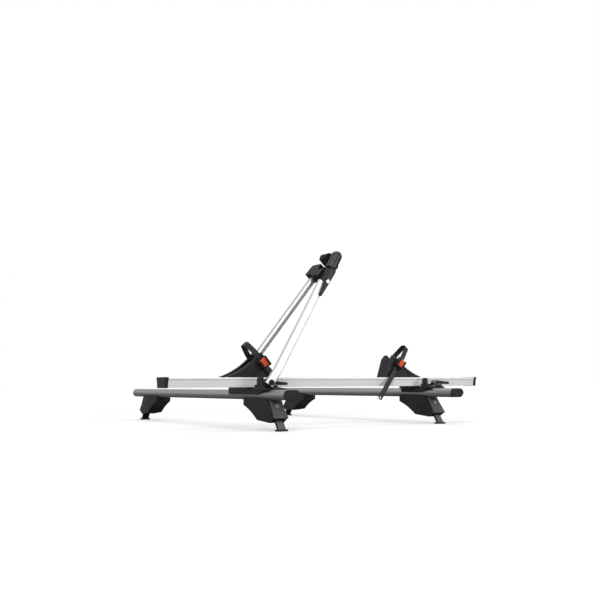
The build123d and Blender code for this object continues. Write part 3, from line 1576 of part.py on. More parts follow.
def rivet(distance, across, gap=0):
    """A rivet through the buckle's foot into the holder's near cheek."""
    start = (-holder_width / 2 + rivet_depth, distance, across)
    return rod(start, (-1, 0, 0), rivet_depth + buckle_height, buckle_rivet_radius + gap)


def anchor_rivet(gap=0):
    """The rivet that holds the strap's end on the far cheek."""
    distance = strap_anchor_distance - anchor_margin
    start = (holder_width / 2 - rivet_depth, distance, 0)
    outer = strap_run + strap_thickness / 2
    body = rod(start, (1, 0, 0), outer - start[0], rivet_radius + gap)
    if gap:
        return body
    return body + rod((outer, distance, 0), (1, 0, 0), rivet_head_height, rivet_head_radius)


def holder_set(tip_x, facing, lead, angle, *strap_distances):
    """All pieces of one wheel holder, placed on the rail; facing -1 turns it about."""
    plane = strap_plane(lead, angle).location
    holder = wheel_holder() - plane * anchor_rivet(running_gap)
    half = buckle_width / 2
    rivets = [plane * anchor_rivet()]
    buckle = buckle_body()
    distance = buckle_start + buckle_rivet_reach
    for across in (-1, 1):
        height = across * (half - buckle_ear / 2 - seat_gap)
        holder -= plane * rivet(distance, height, running_gap)
        rivets.append(plane * rivet(distance, height))
    pieces = {
        "wheel_holder": [holder],
        "holder_clamp_plate": [clamp_plate()],
        "holder_bolts": holder_bolts(),
        "wheel_strap": [wheel_strap(lead, angle, *strap_distances)],
        "strap_buckle": [plane * buckle],
        "strap_lever": [plane * buckle_lever()],
        "strap_pins": [plane * lever_pin(), *rivets],
    }
    place = Pos(tip_x, rail_y, 0)
    placed = {}
    for name, solids in pieces.items():
        if facing < 0:
            solids = [mirror(solid, about=Plane.YZ) for solid in solids]
        placed[name] = [place * solid for solid in solids]
    return placed


def foot_place(bar_x, bar_y, setback, near):
    """Puts a foot's piece, drawn under the far end, under one end of a bar."""
    def put(piece):
        if near:
            return Pos(bar_x, bar_y + setback, 0) * mirror(piece, about=Plane.XZ)
        return Pos(bar_x, bar_y - setback, 0) * piece
    return put


save("wheel_rail", wheel_rail())
rear_rail_cap = rail_end_cap()
save("rail_end_caps", rear_rail_cap, mirror(rear_rail_cap, about=Plane.YZ))
save("front_base_bracket", front_bracket())
save("rear_base_bracket", rear_bracket())
save("rail_t_bolts", *rail_bolts(front_bar_x), *rail_bolts(rear_bar_x))
save("bracket_t_bolts", *far_bolt(front_bar_x), *far_bolt(rear_bar_x))
save(
    "bracket_cam_bolts", *cam_bolt(front_bar_x), *cam_bolt(rear_bar_x), cam_pin(front_bar_x),
    cam_pin(rear_bar_x))
save("front_cam_lever", cam_lever(front_bar_x))
save("rear_cam_lever", cam_lever(rear_bar_x))

save("near_leg", near_leg())
save("far_leg", far_leg())
save("leg_end_plugs", *leg_plugs())
save("pivot_bushes", bush(near_pivot, near_leg_thickness / 2, -1), bush(far_pivot, far_leg_radius, 1))
save(
    "pivot_bolts", *pivot_bolt(near_pivot, near_leg_thickness / 2, -1),
    *pivot_bolt(far_pivot, far_leg_radius, 1))
save("clamp_head_body", head_body())
save("fixed_jaw", fixed_jaw())
save("fixed_jaw_pad", fixed_jaw_pad())
save("moving_jaw", moving_jaw())
save("moving_jaw_pad", moving_jaw_pad())
save("clamp_screw", clamp_screw())
save("clamp_knob", clamp_knob())
save("clamp_lock", head_lock())
save("clamp_head_bolts", *jaw_bolts(), near_leg_screw(), far_leg_screw())

front_set = holder_set(
    front_wheel_x + front_holder_lead, 1, front_holder_lead, front_strap_angle,
    front_shoulder_distance, front_tail_distance, front_tail_flare)
rear_set = holder_set(
    rear_wheel_x - rear_holder_lead, -1, rear_holder_lead, rear_strap_angle,
    rear_shoulder_distance, rear_tail_distance, rear_tail_flare)
for end_name, pieces in (("front", front_set), ("rear", rear_set)):
    for piece_name, solids in pieces.items():
        save(f"{end_name}_{piece_name}", *solids)

far_cap = bar_end_cap()
near_cap = mirror(far_cap, about=Plane.XZ)
caps = []
for end_name, bar_x, bar_y, near_reach, far_reach in (
    ("front", front_bar_x, -bar_shift, front_bracket_near_reach, front_bracket_far_reach),
    ("rear", rear_bar_x, bar_shift, rear_bracket_near_reach, rear_bracket_far_reach),
):
    save(f"{end_name}_roof_bar", Pos(bar_x, bar_y, 0) * roof_bar())
    strips = slot_strips(bar_y, near_reach, far_reach)
    save(f"{end_name}_bar_strips", *(Pos(bar_x, 0, 0) * strip for strip in strips))
    caps += [Pos(bar_x, bar_y, 0) * far_cap, Pos(bar_x, bar_y, 0) * near_cap]
save("bar_end_caps", *caps)

housing = foot_housing()
cover = foot_cover()
lock = cover_lock()
legs = []
pads = []
bolts = []
for end_name, bar_x, bar_y, setback in (
    ("front", front_bar_x, -bar_shift, 0),
    ("rear", rear_bar_x, bar_shift, rear_foot_setback),
):
    for side_name, near in (("near", True), ("far", False)):
        put = foot_place(bar_x, bar_y, setback, near)
        save(f"{end_name}_{side_name}_foot", put(housing))
        save(f"{end_name}_{side_name}_foot_cover", put(cover))
        save(f"{end_name}_{side_name}_foot_lock", put(lock))
        legs.append(put(leg_strap()))
        pads.append(put(foot_pad()))
        bolts += [put(tension_bolt()), put(tension_washer())]
save("foot_legs", *legs)
save("foot_pads", *pads)
save("foot_tension_bolts", *bolts)
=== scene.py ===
import math

import bmesh
import bpy
from mathutils import Matrix, Vector


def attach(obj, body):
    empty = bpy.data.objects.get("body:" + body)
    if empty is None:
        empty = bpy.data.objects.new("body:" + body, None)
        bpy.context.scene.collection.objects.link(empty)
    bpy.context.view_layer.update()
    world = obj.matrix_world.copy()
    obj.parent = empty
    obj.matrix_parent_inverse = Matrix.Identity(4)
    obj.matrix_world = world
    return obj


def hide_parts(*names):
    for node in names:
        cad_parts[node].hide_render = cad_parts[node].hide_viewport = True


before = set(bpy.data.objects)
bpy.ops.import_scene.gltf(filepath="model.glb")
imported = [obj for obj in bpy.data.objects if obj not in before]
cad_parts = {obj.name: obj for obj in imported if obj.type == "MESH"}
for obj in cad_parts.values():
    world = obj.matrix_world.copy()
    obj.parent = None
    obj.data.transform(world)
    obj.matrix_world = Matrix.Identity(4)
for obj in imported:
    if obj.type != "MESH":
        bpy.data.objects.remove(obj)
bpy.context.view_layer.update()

# Roof bars
# Two extruded aluminium bars with a wing section and a slot along the top, anodised dark
# silver over a surface that keeps the fine lines of the extrusion die.

BAR_COLOUR = (0.370, 0.374, 0.378)
BAR_SHADE = (0.295, 0.299, 0.303)
BAR_LINES = (520.0, 1.3, 520.0)
METAL_CLOUDS = (9.0, 9.0, 9.0)
METAL_WEAR_RADIUS = 0.0006
METAL_EDGE_RADIUS = 0.0005
WORN_LIGHTENING = 1.35
BEVEL_SAMPLES = 4
WEAR_STARTS = 0.97
WEAR_FULL = 0.80
SHEEN_SPREAD = (0.3, 0.7)

# The colour sockets of a mix node, which share their names with its other sockets.
MIX_FIRST = 6
MIX_SECOND = 7
MIX_RESULT = 2


def shader_of(material):
    """A material's shader."""
    return material.node_tree.nodes["Principled BSDF"]


def start_material(name):
    """A new material with its node tree and its shader."""
    material = bpy.data.materials.new(name)
    material.use_nodes = True
    return material, material.node_tree, shader_of(material)


def add_node(tree, kind, settings=(), **sockets):
    """One node with its settings and its unlinked socket values."""
    node = tree.nodes.new(kind)
    for key, value in dict(settings).items():
        setattr(node, key, value)
    for key, value in sockets.items():
        node.inputs[key.replace("_", " ")].default_value = value
    return node


def stretched_noise(tree, stretch, detail=3.0):
    """Noise in the object's own metres, stretched by a factor along each axis."""
    place = add_node(tree, "ShaderNodeTexCoord")
    stretched = add_node(tree, "ShaderNodeMapping", Scale=stretch)
    noise = add_node(tree, "ShaderNodeTexNoise", Scale=1.0, Detail=detail)
    tree.links.new(place.outputs["Object"], stretched.inputs["Vector"])
    tree.links.new(stretched.outputs["Vector"], noise.inputs["Vector"])
    return noise.outputs["Fac"]


def ramp(tree, source, low, high, low_value=0.0, high_value=1.0):
    """A source's part from low to high, spread between two grey values."""
    node = add_node(
        tree, "ShaderNodeMapRange",
        From_Min=low, From_Max=high, To_Min=low_value, To_Max=high_value)
    tree.links.new(source, node.inputs["Value"])
    return node.outputs["Result"]


def mix_colour(tree, amount, first, second):
    """Two colours, or colour outputs, mixed by an amount."""
    node = add_node(tree, "ShaderNodeMix", {"data_type": "RGBA"})
    tree.links.new(amount, node.inputs["Factor"])
    for index, value in ((MIX_FIRST, first), (MIX_SECOND, second)):
        if isinstance(value, tuple):
            node.inputs[index].default_value = (*value, 1.0)
        else:
            tree.links.new(value, node.inputs[index])
    return node.outputs[MIX_RESULT]


def laid_over(tree, base, colour, source, low=0.0, high=1.0, share=1.0):
    """A base with a colour laid over it where a source is high, up to a share."""
    return mix_colour(tree, ramp(tree, source, low, high, high_value=share), base, colour)


def uneven_sheen(tree, shader, source, roughness, below, above):
    """Lets the roughness wander below and above a value, as a source does."""
    spread = ramp(tree, source, *SHEEN_SPREAD, roughness - below, roughness + above)
    tree.links.new(spread, shader.inputs["Roughness"])


def edge_mask(tree, radius):
    """One along the sharp edges of a piece, zero on its flats."""
    soft = add_node(tree, "ShaderNodeBevel", {"samples": BEVEL_SAMPLES}, Radius=radius)
    flat = add_node(tree, "ShaderNodeNewGeometry")
    dot = add_node(tree, "ShaderNodeVectorMath", {"operation": "DOT_PRODUCT"})
    tree.links.new(soft.outputs["Normal"], dot.inputs[0])
    tree.links.new(flat.outputs["Normal"], dot.inputs[1])
    return ramp(tree, dot.outputs["Value"], WEAR_STARTS, WEAR_FULL)


def bumped(tree, shader, height, distance, edge_radius):
    """Puts a height on the surface, over edges that are rounded in shading."""
    soft = add_node(tree, "ShaderNodeBevel", {"samples": BEVEL_SAMPLES}, Radius=edge_radius)
    bump = add_node(tree, "ShaderNodeBump", Strength=1.0, Distance=distance)
    tree.links.new(height, bump.inputs["Height"])
    tree.links.new(soft.outputs["Normal"], bump.inputs["Normal"])
    tree.links.new(bump.outputs["Normal"], shader.inputs["Normal"])


def anodised(name, colour, shade, stretch, roughness, line_depth, metallic=0.85):
    """Drawn, anodised aluminium: fine lines, faint clouds and brighter worn edges."""
    material, tree, shader = start_material(name)
    lines = stretched_noise(tree, stretch, detail=4.0)
    clouds = stretched_noise(tree, METAL_CLOUDS)
    worn = edge_mask(tree, METAL_WEAR_RADIUS)
    brighter = tuple(min(1.0, WORN_LIGHTENING * part) for part in colour)
    base = laid_over(tree, colour, shade, lines, low=0.35, high=0.65)
    base = laid_over(tree, base, shade, clouds, low=0.45, high=0.75, share=0.35)
    base = laid_over(tree, base, brighter, worn, share=0.55)
    tree.links.new(base, shader.inputs["Base Color"])
    uneven_sheen(tree, shader, lines, roughness, below=0.05, above=0.07)
    shader.inputs["Metallic"].default_value = metallic
    bumped(tree, shader, lines, line_depth, METAL_EDGE_RADIUS)
    return material


def wear(material, *nodes):
    """Gives CAD pieces their finish."""
    for node in nodes:
        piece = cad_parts[node]
        piece.data.materials.clear()
        piece.data.materials.append(material)


bar_metal = anodised(
    "bar_metal", BAR_COLOUR, BAR_SHADE, BAR_LINES, roughness=0.42, line_depth=0.00002)
wear(bar_metal, "front_roof_bar", "rear_roof_bar")

# Bar end caps and slot strips
# Moulded black caps pressed into the bars' ends, with a fine spark-eroded grain and paler,
# rubbed rims, and soft black strips pushed into the top slots.

CAP_BLACK = (0.009, 0.009, 0.010)
RUBBED_BLACK = (0.042, 0.042, 0.044)
PLASTIC_SPECULAR = 0.22
PLASTIC_EDGE_RADIUS = 0.0007
PLASTIC_CLOUDS = (22.0, 22.0, 22.0)
PLASTIC_SCUFFS = (160.0, 30.0, 90.0)
WEAR_PER_EDGE = 1.2


def moulded(
        name, colour, rubbed, roughness, grain, grain_depth,
        edge_radius=PLASTIC_EDGE_RADIUS, specular=PLASTIC_SPECULAR):
    """Moulded plastic: grain of so many cells to a metre, uneven sheen and rubbed edges."""
    material, tree, shader = start_material(name)
    pores = stretched_noise(tree, (grain, grain, grain), detail=2.0)
    clouds = stretched_noise(tree, PLASTIC_CLOUDS)
    scuffs = stretched_noise(tree, PLASTIC_SCUFFS, detail=6.0)
    worn = edge_mask(tree, WEAR_PER_EDGE * edge_radius)
    base = laid_over(tree, colour, rubbed, clouds, low=0.4, high=0.7, share=0.25)
    base = laid_over(tree, base, rubbed, scuffs, low=0.62, high=0.75, share=0.30)
    base = laid_over(tree, base, rubbed, worn, share=0.75)
    tree.links.new(base, shader.inputs["Base Color"])
    uneven_sheen(tree, shader, clouds, roughness, below=0.06, above=0.08)
    shader.inputs["Specular IOR Level"].default_value = specular
    bumped(tree, shader, pores, grain_depth, edge_radius)
    return material


cap_plastic = moulded(
    "cap_plastic", CAP_BLACK, RUBBED_BLACK, roughness=0.42, grain=2400.0, grain_depth=0.00004)
wear(cap_plastic, "bar_end_caps")

STRIP_BLACK = (0.011, 0.011, 0.011)
DUST_GREY = (0.060, 0.058, 0.055)
RUBBER_GRAIN = (900.0, 900.0, 900.0)
RUBBER_PATCHES = (35.0, 35.0, 35.0)
RUBBER_GRAIN_DEPTH = 0.00006
RUBBER_EDGE_RADIUS = 0.0005


def soft_rubber(name, colour, roughness):
    """Soft rubber: nearly matt, with dust that gathers in patches."""
    material, tree, shader = start_material(name)
    grain = stretched_noise(tree, RUBBER_GRAIN)
    patches = stretched_noise(tree, RUBBER_PATCHES, detail=5.0)
    base = laid_over(tree, colour, DUST_GREY, patches, low=0.5, high=0.8, share=0.5)
    tree.links.new(base, shader.inputs["Base Color"])
    uneven_sheen(tree, shader, patches, roughness, below=0.08, above=0.06)
    bumped(tree, shader, grain, RUBBER_GRAIN_DEPTH, RUBBER_EDGE_RADIUS)
    return material


strip_rubber = soft_rubber("strip_rubber", STRIP_BLACK, roughness=0.72)
wear(strip_rubber, "front_bar_strips", "rear_bar_strips")

# Bar feet
# Glass-filled nylon housings under the bars' ends, each with a smoother cover that slides
# off outwards and is held by a round lock.

FEET = ("front_near", "front_far", "rear_near", "rear_far")
FOOT_BLACK = (0.008, 0.008, 0.009)
COVER_GREY = (0.068, 0.068, 0.071)
COVER_RUBBED = (0.10, 0.10, 0.105)

foot_plastic = moulded(
    "foot_plastic", FOOT_BLACK, RUBBED_BLACK, roughness=0.46, grain=1500.0, grain_depth=0.00007)
cover_plastic = moulded(
    "cover_plastic", COVER_GREY, COVER_RUBBED, roughness=0.34, grain=2600.0,
    grain_depth=0.00003, edge_radius=0.001)
wear(foot_plastic, *(f"{foot}_foot" for foot in FEET))
wear(cover_plastic, *(f"{foot}_foot_cover" for foot in FEET))

# The lock barrels are turned from bright metal, with fine marks all over.
LOCK_BRIGHT = (0.56, 0.57, 0.58)
LOCK_SHADE = (0.30, 0.31, 0.32)
PLATE_MARKS = (700.0, 700.0, 60.0)
PLATE_FILM = (60.0, 60.0, 60.0)
PLATE_MARK_DEPTH = 0.00002
PLATE_EDGE_RADIUS = 0.0004


def plated(name, colour, shade, roughness, metallic=1.0):
    """Plated or turned metal: fine marks, and a mottled film of handling."""
    material, tree, shader = start_material(name)
    marks = stretched_noise(tree, PLATE_MARKS, detail=4.0)
    film = stretched_noise(tree, PLATE_FILM, detail=4.0)
    base = laid_over(tree, colour, shade, film, low=0.4, high=0.75, share=0.7)
    tree.links.new(base, shader.inputs["Base Color"])
    uneven_sheen(tree, shader, marks, roughness, below=0.08, above=0.10)
    shader.inputs["Metallic"].default_value = metallic
    bumped(tree, shader, marks, PLATE_MARK_DEPTH, PLATE_EDGE_RADIUS)
    return material


lock_metal = plated("lock_metal", LOCK_BRIGHT, LOCK_SHADE, roughness=0.26, metallic=0.7)
wear(lock_metal, *(f"{foot}_foot_lock" for foot in FEET))

# The feet's slanted legs are steel bands covered in fluted rubber, on rubber pads. The flutes'
# flanks, where the rubber faces neither straight along the carrier nor straight across it, get a
# painted highlight in paler grey.
LEG_RUBBER = (0.007, 0.007, 0.008)
LEG_RUBBED_AND_RIDGE_HIGHLIGHT = (0.090, 0.089, 0.087)
FLUTE_PAINTED_HIGHLIGHT = (0.24, 0.24, 0.235)
FLUTE_HIGHLIGHT_RISE = (0.10, 0.30)
FLUTE_HIGHLIGHT_FALL = (0.90, 0.96)
PAD_RUBBER = (0.012, 0.012, 0.012)
BOLT_ZINC = (0.50, 0.51, 0.52)
BOLT_SHADE = (0.26, 0.27, 0.27)


def turned_band(tree, axis, rise, fall):
    """One where the surface faces an axis of the piece by some share, zero elsewhere."""
    place = add_node(tree, "ShaderNodeTexCoord")
    parts = add_node(tree, "ShaderNodeSeparateXYZ")
    lean = add_node(tree, "ShaderNodeMath", {"operation": "ABSOLUTE"})
    both = add_node(tree, "ShaderNodeMath", {"operation": "MULTIPLY"})
    tree.links.new(place.outputs["Normal"], parts.inputs["Vector"])
    tree.links.new(parts.outputs[axis], lean.inputs[0])
    tree.links.new(ramp(tree, lean.outputs[0], *rise), both.inputs[0])
    tree.links.new(ramp(tree, lean.outputs[0], *fall, 1.0, 0.0), both.inputs[1])
    return both.outputs[0]


# Paints highlight and shade by the way a surface faces.
def paint_light_by_facing(material, colour, axis, rise, fall):
    """Lays painted light over a finish: a second colour on a band that faces an axis of the
    piece.
    """
    tree = material.node_tree
    base_socket = shader_of(material).inputs["Base Color"]
    first = base_socket.links[0].from_socket
    band = turned_band(tree, axis, rise, fall)
    tree.links.new(mix_colour(tree, band, first, colour), base_socket)


# Its rubbed colour on the flutes' sharp edges is partly wear and partly a painted highlight on
# the ridges.
leg_rubber = moulded(
    "leg_rubber", LEG_RUBBER, LEG_RUBBED_AND_RIDGE_HIGHLIGHT, roughness=0.55, grain=1400.0,
    grain_depth=0.00005, edge_radius=0.0009)
# Painted highlight on the flutes' flanks.
paint_light_by_facing(leg_rubber, FLUTE_PAINTED_HIGHLIGHT, "X", FLUTE_HIGHLIGHT_RISE, FLUTE_HIGHLIGHT_FALL)
pad_rubber = soft_rubber("pad_rubber", PAD_RUBBER, roughness=0.80)
zinc = plated("zinc_plate", BOLT_ZINC, BOLT_SHADE, roughness=0.34)
wear(leg_rubber, "foot_legs")
wear(pad_rubber, "foot_pads")
wear(zinc, "foot_tension_bolts")

# Base brackets
# Black moulded saddles that straddle the bars and carry the wheel rail. T-bolts in the
# bars' slots hold them, drawn down by a cam lever at the near end.

BRACKET_BLACK = (0.0075, 0.0075, 0.0080)
LEVER_BLACK = (0.012, 0.012, 0.013)

bracket_plastic = moulded(
    "bracket_plastic", BRACKET_BLACK, RUBBED_BLACK, roughness=0.44, grain=1700.0,
    grain_depth=0.00006)
lever_plastic = moulded(
    "lever_plastic", LEVER_BLACK, RUBBED_BLACK, roughness=0.36, grain=2400.0,
    grain_depth=0.00003)
wear(bracket_plastic, "front_base_bracket", "rear_base_bracket")
wear(lever_plastic, "front_cam_lever", "rear_cam_lever")
wear(zinc, "bracket_t_bolts", "bracket_cam_bolts", "rail_t_bolts")

# Wheel rail
# One bright anodised aluminium channel with rolled lips, closed at both ends by black
# moulded caps.

RAIL_BRIGHT = (0.80, 0.805, 0.81)
RAIL_SHADE = (0.72, 0.725, 0.73)
RAIL_LINES = (1.1, 480.0, 480.0)

rail_metal = anodised(
    "rail_metal", RAIL_BRIGHT, RAIL_SHADE, RAIL_LINES, roughness=0.38, line_depth=0.00001,
    metallic=0.35)
wear(rail_metal, "wheel_rail")
wear(cap_plastic, "rail_end_caps")

# Support arm
# A flat oval near leg and a round far leg of bright aluminium tube, both turning on bolts
# through nylon bushes in the front bracket's ears.

LEG_BRIGHT = (0.90, 0.905, 0.91)
LEG_SHADE = (0.80, 0.805, 0.81)
LEG_LINES = (220.0, 220.0, 6.0)
FAR_LEG_SILVER = (0.60, 0.61, 0.62)
FAR_LEG_SHADE = (0.44, 0.45, 0.46)
BUSH_NYLON = (0.42, 0.42, 0.40)
BUSH_RUBBED = (0.55, 0.55, 0.53)

# The near leg's rounded sides get a painted shade, a grey darker than its faces. Their band has
# no lower limit, so its rise ends at zero.
LEG_SIDE_PAINTED_SHADE = (0.40, 0.405, 0.41)
SIDE_SHADE_RISE = (-1.0, 0.0)
SIDE_SHADE_FALL = (0.72, 0.96)

near_metal = anodised(
    "near_leg_metal", LEG_BRIGHT, LEG_SHADE, LEG_LINES, roughness=0.40, line_depth=0.00001,
    metallic=0.25)
far_metal = anodised(
    "far_leg_metal", FAR_LEG_SILVER, FAR_LEG_SHADE, LEG_LINES, roughness=0.30,
    line_depth=0.00001)
bush_nylon = moulded(
    "bush_nylon", BUSH_NYLON, BUSH_RUBBED, roughness=0.45, grain=1500.0, grain_depth=0.00003)
# Painted shade on the near leg's rounded sides.
paint_light_by_facing(near_metal, LEG_SIDE_PAINTED_SHADE, "Y", SIDE_SHADE_RISE, SIDE_SHADE_FALL)
wear(near_metal, "near_leg")
wear(far_metal, "far_leg")
wear(cap_plastic, "leg_end_plugs")
wear(bush_nylon, "pivot_bushes")

# Clamp head
# Two moulded jaws lined with rubber. The near body holds the leg, the screw and a lock, and
# the tall fluted knob on top draws the upper jaw down towards the lower one.

HEAD_BLACK = (0.006, 0.006, 0.007)
JAW_BLACK = (0.0045, 0.0045, 0.0050)
JAW_RUBBED = (0.024, 0.024, 0.026)
KNOB_GREY = (0.012, 0.012, 0.013)
KNOB_SPECULAR = 0.5

head_plastic = moulded(
    "head_plastic", HEAD_BLACK, RUBBED_BLACK, roughness=0.38, grain=2000.0,
    grain_depth=0.00005, edge_radius=0.001)
jaw_plastic = moulded(
    "jaw_plastic", JAW_BLACK, JAW_RUBBED, roughness=0.48, grain=1800.0,
    grain_depth=0.00006, edge_radius=0.001)
knob_plastic = moulded(
    "knob_plastic", KNOB_GREY, RUBBED_BLACK, roughness=0.33, grain=2600.0,
    grain_depth=0.00003, edge_radius=0.001, specular=KNOB_SPECULAR)
wear(head_plastic, "clamp_head_body")
wear(jaw_plastic, "fixed_jaw", "moving_jaw")
wear(knob_plastic, "clamp_knob")
wear(pad_rubber, "fixed_jaw_pad", "moving_jaw_pad")
wear(lock_metal, "clamp_lock")
wear(zinc, "clamp_screw")

# The head's bolts and the arm's pivot bolts are blackened steel.
SCREW_BLACK = (0.030, 0.030, 0.032)
SCREW_SHADE = (0.012, 0.012, 0.013)

black_steel = plated("black_steel", SCREW_BLACK, SCREW_SHADE, roughness=0.40)
wear(black_steel, "clamp_head_bolts", "pivot_bolts")

# Wheel holders
# Moulded black chocks on the rail, with a groove down the middle and a sunk panel on each
# side. Socket bolts draw a steel plate up under the rail's lips.

ENDS = ("front", "rear")
HOLDER_BLACK = (0.008, 0.008, 0.009)

holder_plastic = moulded(
    "holder_plastic", HOLDER_BLACK, RUBBED_BLACK, roughness=0.40, grain=1700.0,
    grain_depth=0.00006, edge_radius=0.001)
for end in ENDS:
    wear(holder_plastic, f"{end}_wheel_holder")
    wear(zinc, f"{end}_holder_clamp_plate", f"{end}_holder_bolts", f"{end}_strap_pins")

# Wheel straps
# Flexible moulded straps with ratchet teeth down the outer face. One end is riveted to the
# holder's far cheek and the other runs over and through the buckle to a loose tail.

STRAP_BLACK = (0.013, 0.013, 0.014)
STRAP_RUBBED = (0.060, 0.060, 0.063)
STRAP_WIDTH = 0.0200
STRAP_BASE = 0.0016
STRAP_MARGIN = 0.0030
TOOTH_HEIGHT = 0.0008
TOOTH_PITCH = 0.0040
TOOTH_SLOPE = 0.0034
TIP_ROUND = 0.0080
TIP_NARROWING = 0.75
TIP_STATIONS = 7
TAIL_HOLE = 0.0036
TAIL_HOLE_INSET = 0.0080
TAIL_HOLE_SIDES = 24
TAIL_HOLE_CUT = 0.02

# A strap's path is drawn in a plane whose origin is the centre of the holder's hollow, with
# X across the carrier and Y down the strap's two straight runs.
STRAP_RUN = 0.03155
STRAP_TOP_HALF = 0.0120
STRAP_TOP = 0.2670
STRAP_FOOT = 0.380
BUCKLE_IN = 0.376
BUCKLE_OUT = 0.388
BUCKLE_STEP = 0.0045
SHARP_BEND = 0.0090
GENTLE_BEND = 0.0300
BEND_STEP = 0.002
LEAST_BEND_PIECES = 2
RAIL_Y = -0.430
HOLLOW_Z = 0.491

strap_plastic = moulded(
    "strap_plastic", STRAP_BLACK, STRAP_RUBBED, roughness=0.40, grain=1600.0,
    grain_depth=0.00004, edge_radius=0.0004)


def bent_line(points, radii):
    """Points along a line whose corners are rounded."""
    line = [points[0]]
    for before, corner, after, radius in zip(points, points[1:], points[2:], radii):
        into = (corner - before).normalized()
        out = (after - corner).normalized()
        turn = into.angle(out)
        reach = radius * math.tan(turn / 2)
        start = corner - into * reach
        centre_way = (out - into).normalized()
        centre = corner + centre_way * (radius / math.cos(turn / 2))
        pieces = max(LEAST_BEND_PIECES, round(radius * turn / BEND_STEP))
        first = start - centre
        last = corner + out * reach - centre
        for index in range(pieces + 1):
            share = index / pieces
            swing = first * math.sin((1 - share) * turn) + last * math.sin(share * turn)
            ray = swing / math.sin(turn)
            line.append(centre + ray)
    line.append(points[-1])
    return line


def line_length(line):
    """The length of a line of points."""
    return sum((end - start).length for start, end in zip(line, line[1:]))


def along_line(line, distance):
    """The point and the direction at a distance along a line."""
    for start, end in zip(line, line[1:]):
        length = (end - start).length
        if distance <= length or end is line[-1]:
            way = (end - start).normalized()
            return start + way * distance, way
        distance -= length


def outward(way):
    """The direction square to a way in the strap's plane, on its outer side."""
    return Vector((-way.y, way.x, 0.0))


def strap_stations(length):
    """Distances along a strap with the share of a tooth's height that stands there."""
    stations = []
    distance = 0.0
    while distance + TOOTH_PITCH < length - TIP_ROUND:
        stations += [(distance, 0.0), (distance + TOOTH_SLOPE, 1.0)]
        distance += TOOTH_PITCH
    stations.append((distance, 0.0))
    for index in range(TIP_STATIONS):
        share = index / (TIP_STATIONS - 1)
        stations.append((length - TIP_ROUND * (1 - math.sin(share * math.pi / 2)), 0.0))
    return stations


def strap_section(distance, rise, length):
    """A strap's outline across its run: a flat base with the teeth standing on it."""
    near_tip = max(0.0, distance - (length - TIP_ROUND)) / TIP_ROUND
    half = STRAP_WIDTH / 2 * math.sqrt(1 - TIP_NARROWING * near_tip ** 2)
    inner = half - STRAP_MARGIN
    low = -(STRAP_BASE + TOOTH_HEIGHT) / 2
    top = low + STRAP_BASE
    tooth = top + TOOTH_HEIGHT * rise
    return (
        (-half, low), (half, low), (half, top), (inner, top),
        (inner, tooth), (-inner, tooth), (-inner, top), (-half, top))


def strap_mesh(name, line):
    """A strap's mesh in its own plane: X across the carrier, Y down its run, Z its width."""
    length = line_length(line)
    mesh = bmesh.new()
    rings = []
    for distance, rise in strap_stations(length):
        point, way = along_line(line, distance)
        out = outward(way)
        ring = []
        for across, up in strap_section(distance, rise, length):
            place = point - out * up
            ring.append(mesh.verts.new((place.x, place.y, across)))
        rings.append(ring)
    for ring, following in zip(rings, rings[1:]):
        for index in range(len(ring)):
            other = (index + 1) % len(ring)
            mesh.faces.new((ring[index], ring[other], following[other], following[index]))
    mesh.faces.new(rings[0][::-1])
    mesh.faces.new(rings[-1])
    bmesh.ops.recalc_face_normals(mesh, faces=mesh.faces)
    data = bpy.data.meshes.new(name)
    mesh.to_mesh(data)
    mesh.free()
    return data


def punch_tail(strap, line):
    """Cuts the round eye through a strap's tail."""
    tip, way = along_line(line, line_length(line) - TAIL_HOLE_INSET)
    facing = outward(way).to_track_quat("Z", "Y").to_matrix().to_4x4()
    bpy.ops.mesh.primitive_cylinder_add(
        vertices=TAIL_HOLE_SIDES, radius=TAIL_HOLE, depth=TAIL_HOLE_CUT)
    cutter = bpy.context.object
    cutter.matrix_world = Matrix.Translation(tip) @ facing
    cut = strap.modifiers.new("tail_hole", "BOOLEAN")
    cut.object = cutter
    cut.operation = "DIFFERENCE"
    bpy.context.view_layer.update()
    evaluated = strap.evaluated_get(bpy.context.evaluated_depsgraph_get())
    strap_data = bpy.data.meshes.new_from_object(evaluated)
    strap.modifiers.clear()
    strap.data = strap_data
    bpy.data.objects.remove(cutter)


def standing(x_axis, y_axis, z_axis, origin):
    """The matrix that stands something on three axes at an origin."""
    return Matrix((*zip(x_axis, y_axis, z_axis, origin), (0.0, 0.0, 0.0, 1.0)))


def make_strap(end, facing, hollow_x, angle, shoulder, tail, flare):
    """One strap in place, standing for its CAD solid."""
    buckle_side = -STRAP_RUN - BUCKLE_STEP
    points = [
        Vector((STRAP_RUN, STRAP_FOOT)), Vector((STRAP_RUN, shoulder)),
        Vector((STRAP_TOP_HALF, STRAP_TOP)), Vector((-STRAP_TOP_HALF, STRAP_TOP)),
        Vector((-STRAP_RUN, shoulder)), Vector((-STRAP_RUN, BUCKLE_IN)),
        Vector((buckle_side, BUCKLE_OUT)), Vector((buckle_side - flare, tail)),
    ]
    bends = (GENTLE_BEND, SHARP_BEND, SHARP_BEND, GENTLE_BEND, GENTLE_BEND, GENTLE_BEND)
    line = [Vector((*point, 0.0)) for point in bent_line(points, bends)]
    name = f"{end}_toothed_strap"
    strap = bpy.data.objects.new(name, strap_mesh(name, line))
    bpy.context.collection.objects.link(strap)
    punch_tail(strap, line)
    turn = math.radians(angle)
    across = Vector((0.0, 1.0, 0.0))
    away = Vector((facing * math.cos(turn), 0.0, -math.sin(turn)))
    strap.data.transform(standing(across, away, across.cross(away), (hollow_x, RAIL_Y, HOLLOW_Z)))
    strap.data.materials.append(strap_plastic)
    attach(strap, f"{end}_holder")
    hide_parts(f"{end}_wheel_strap")


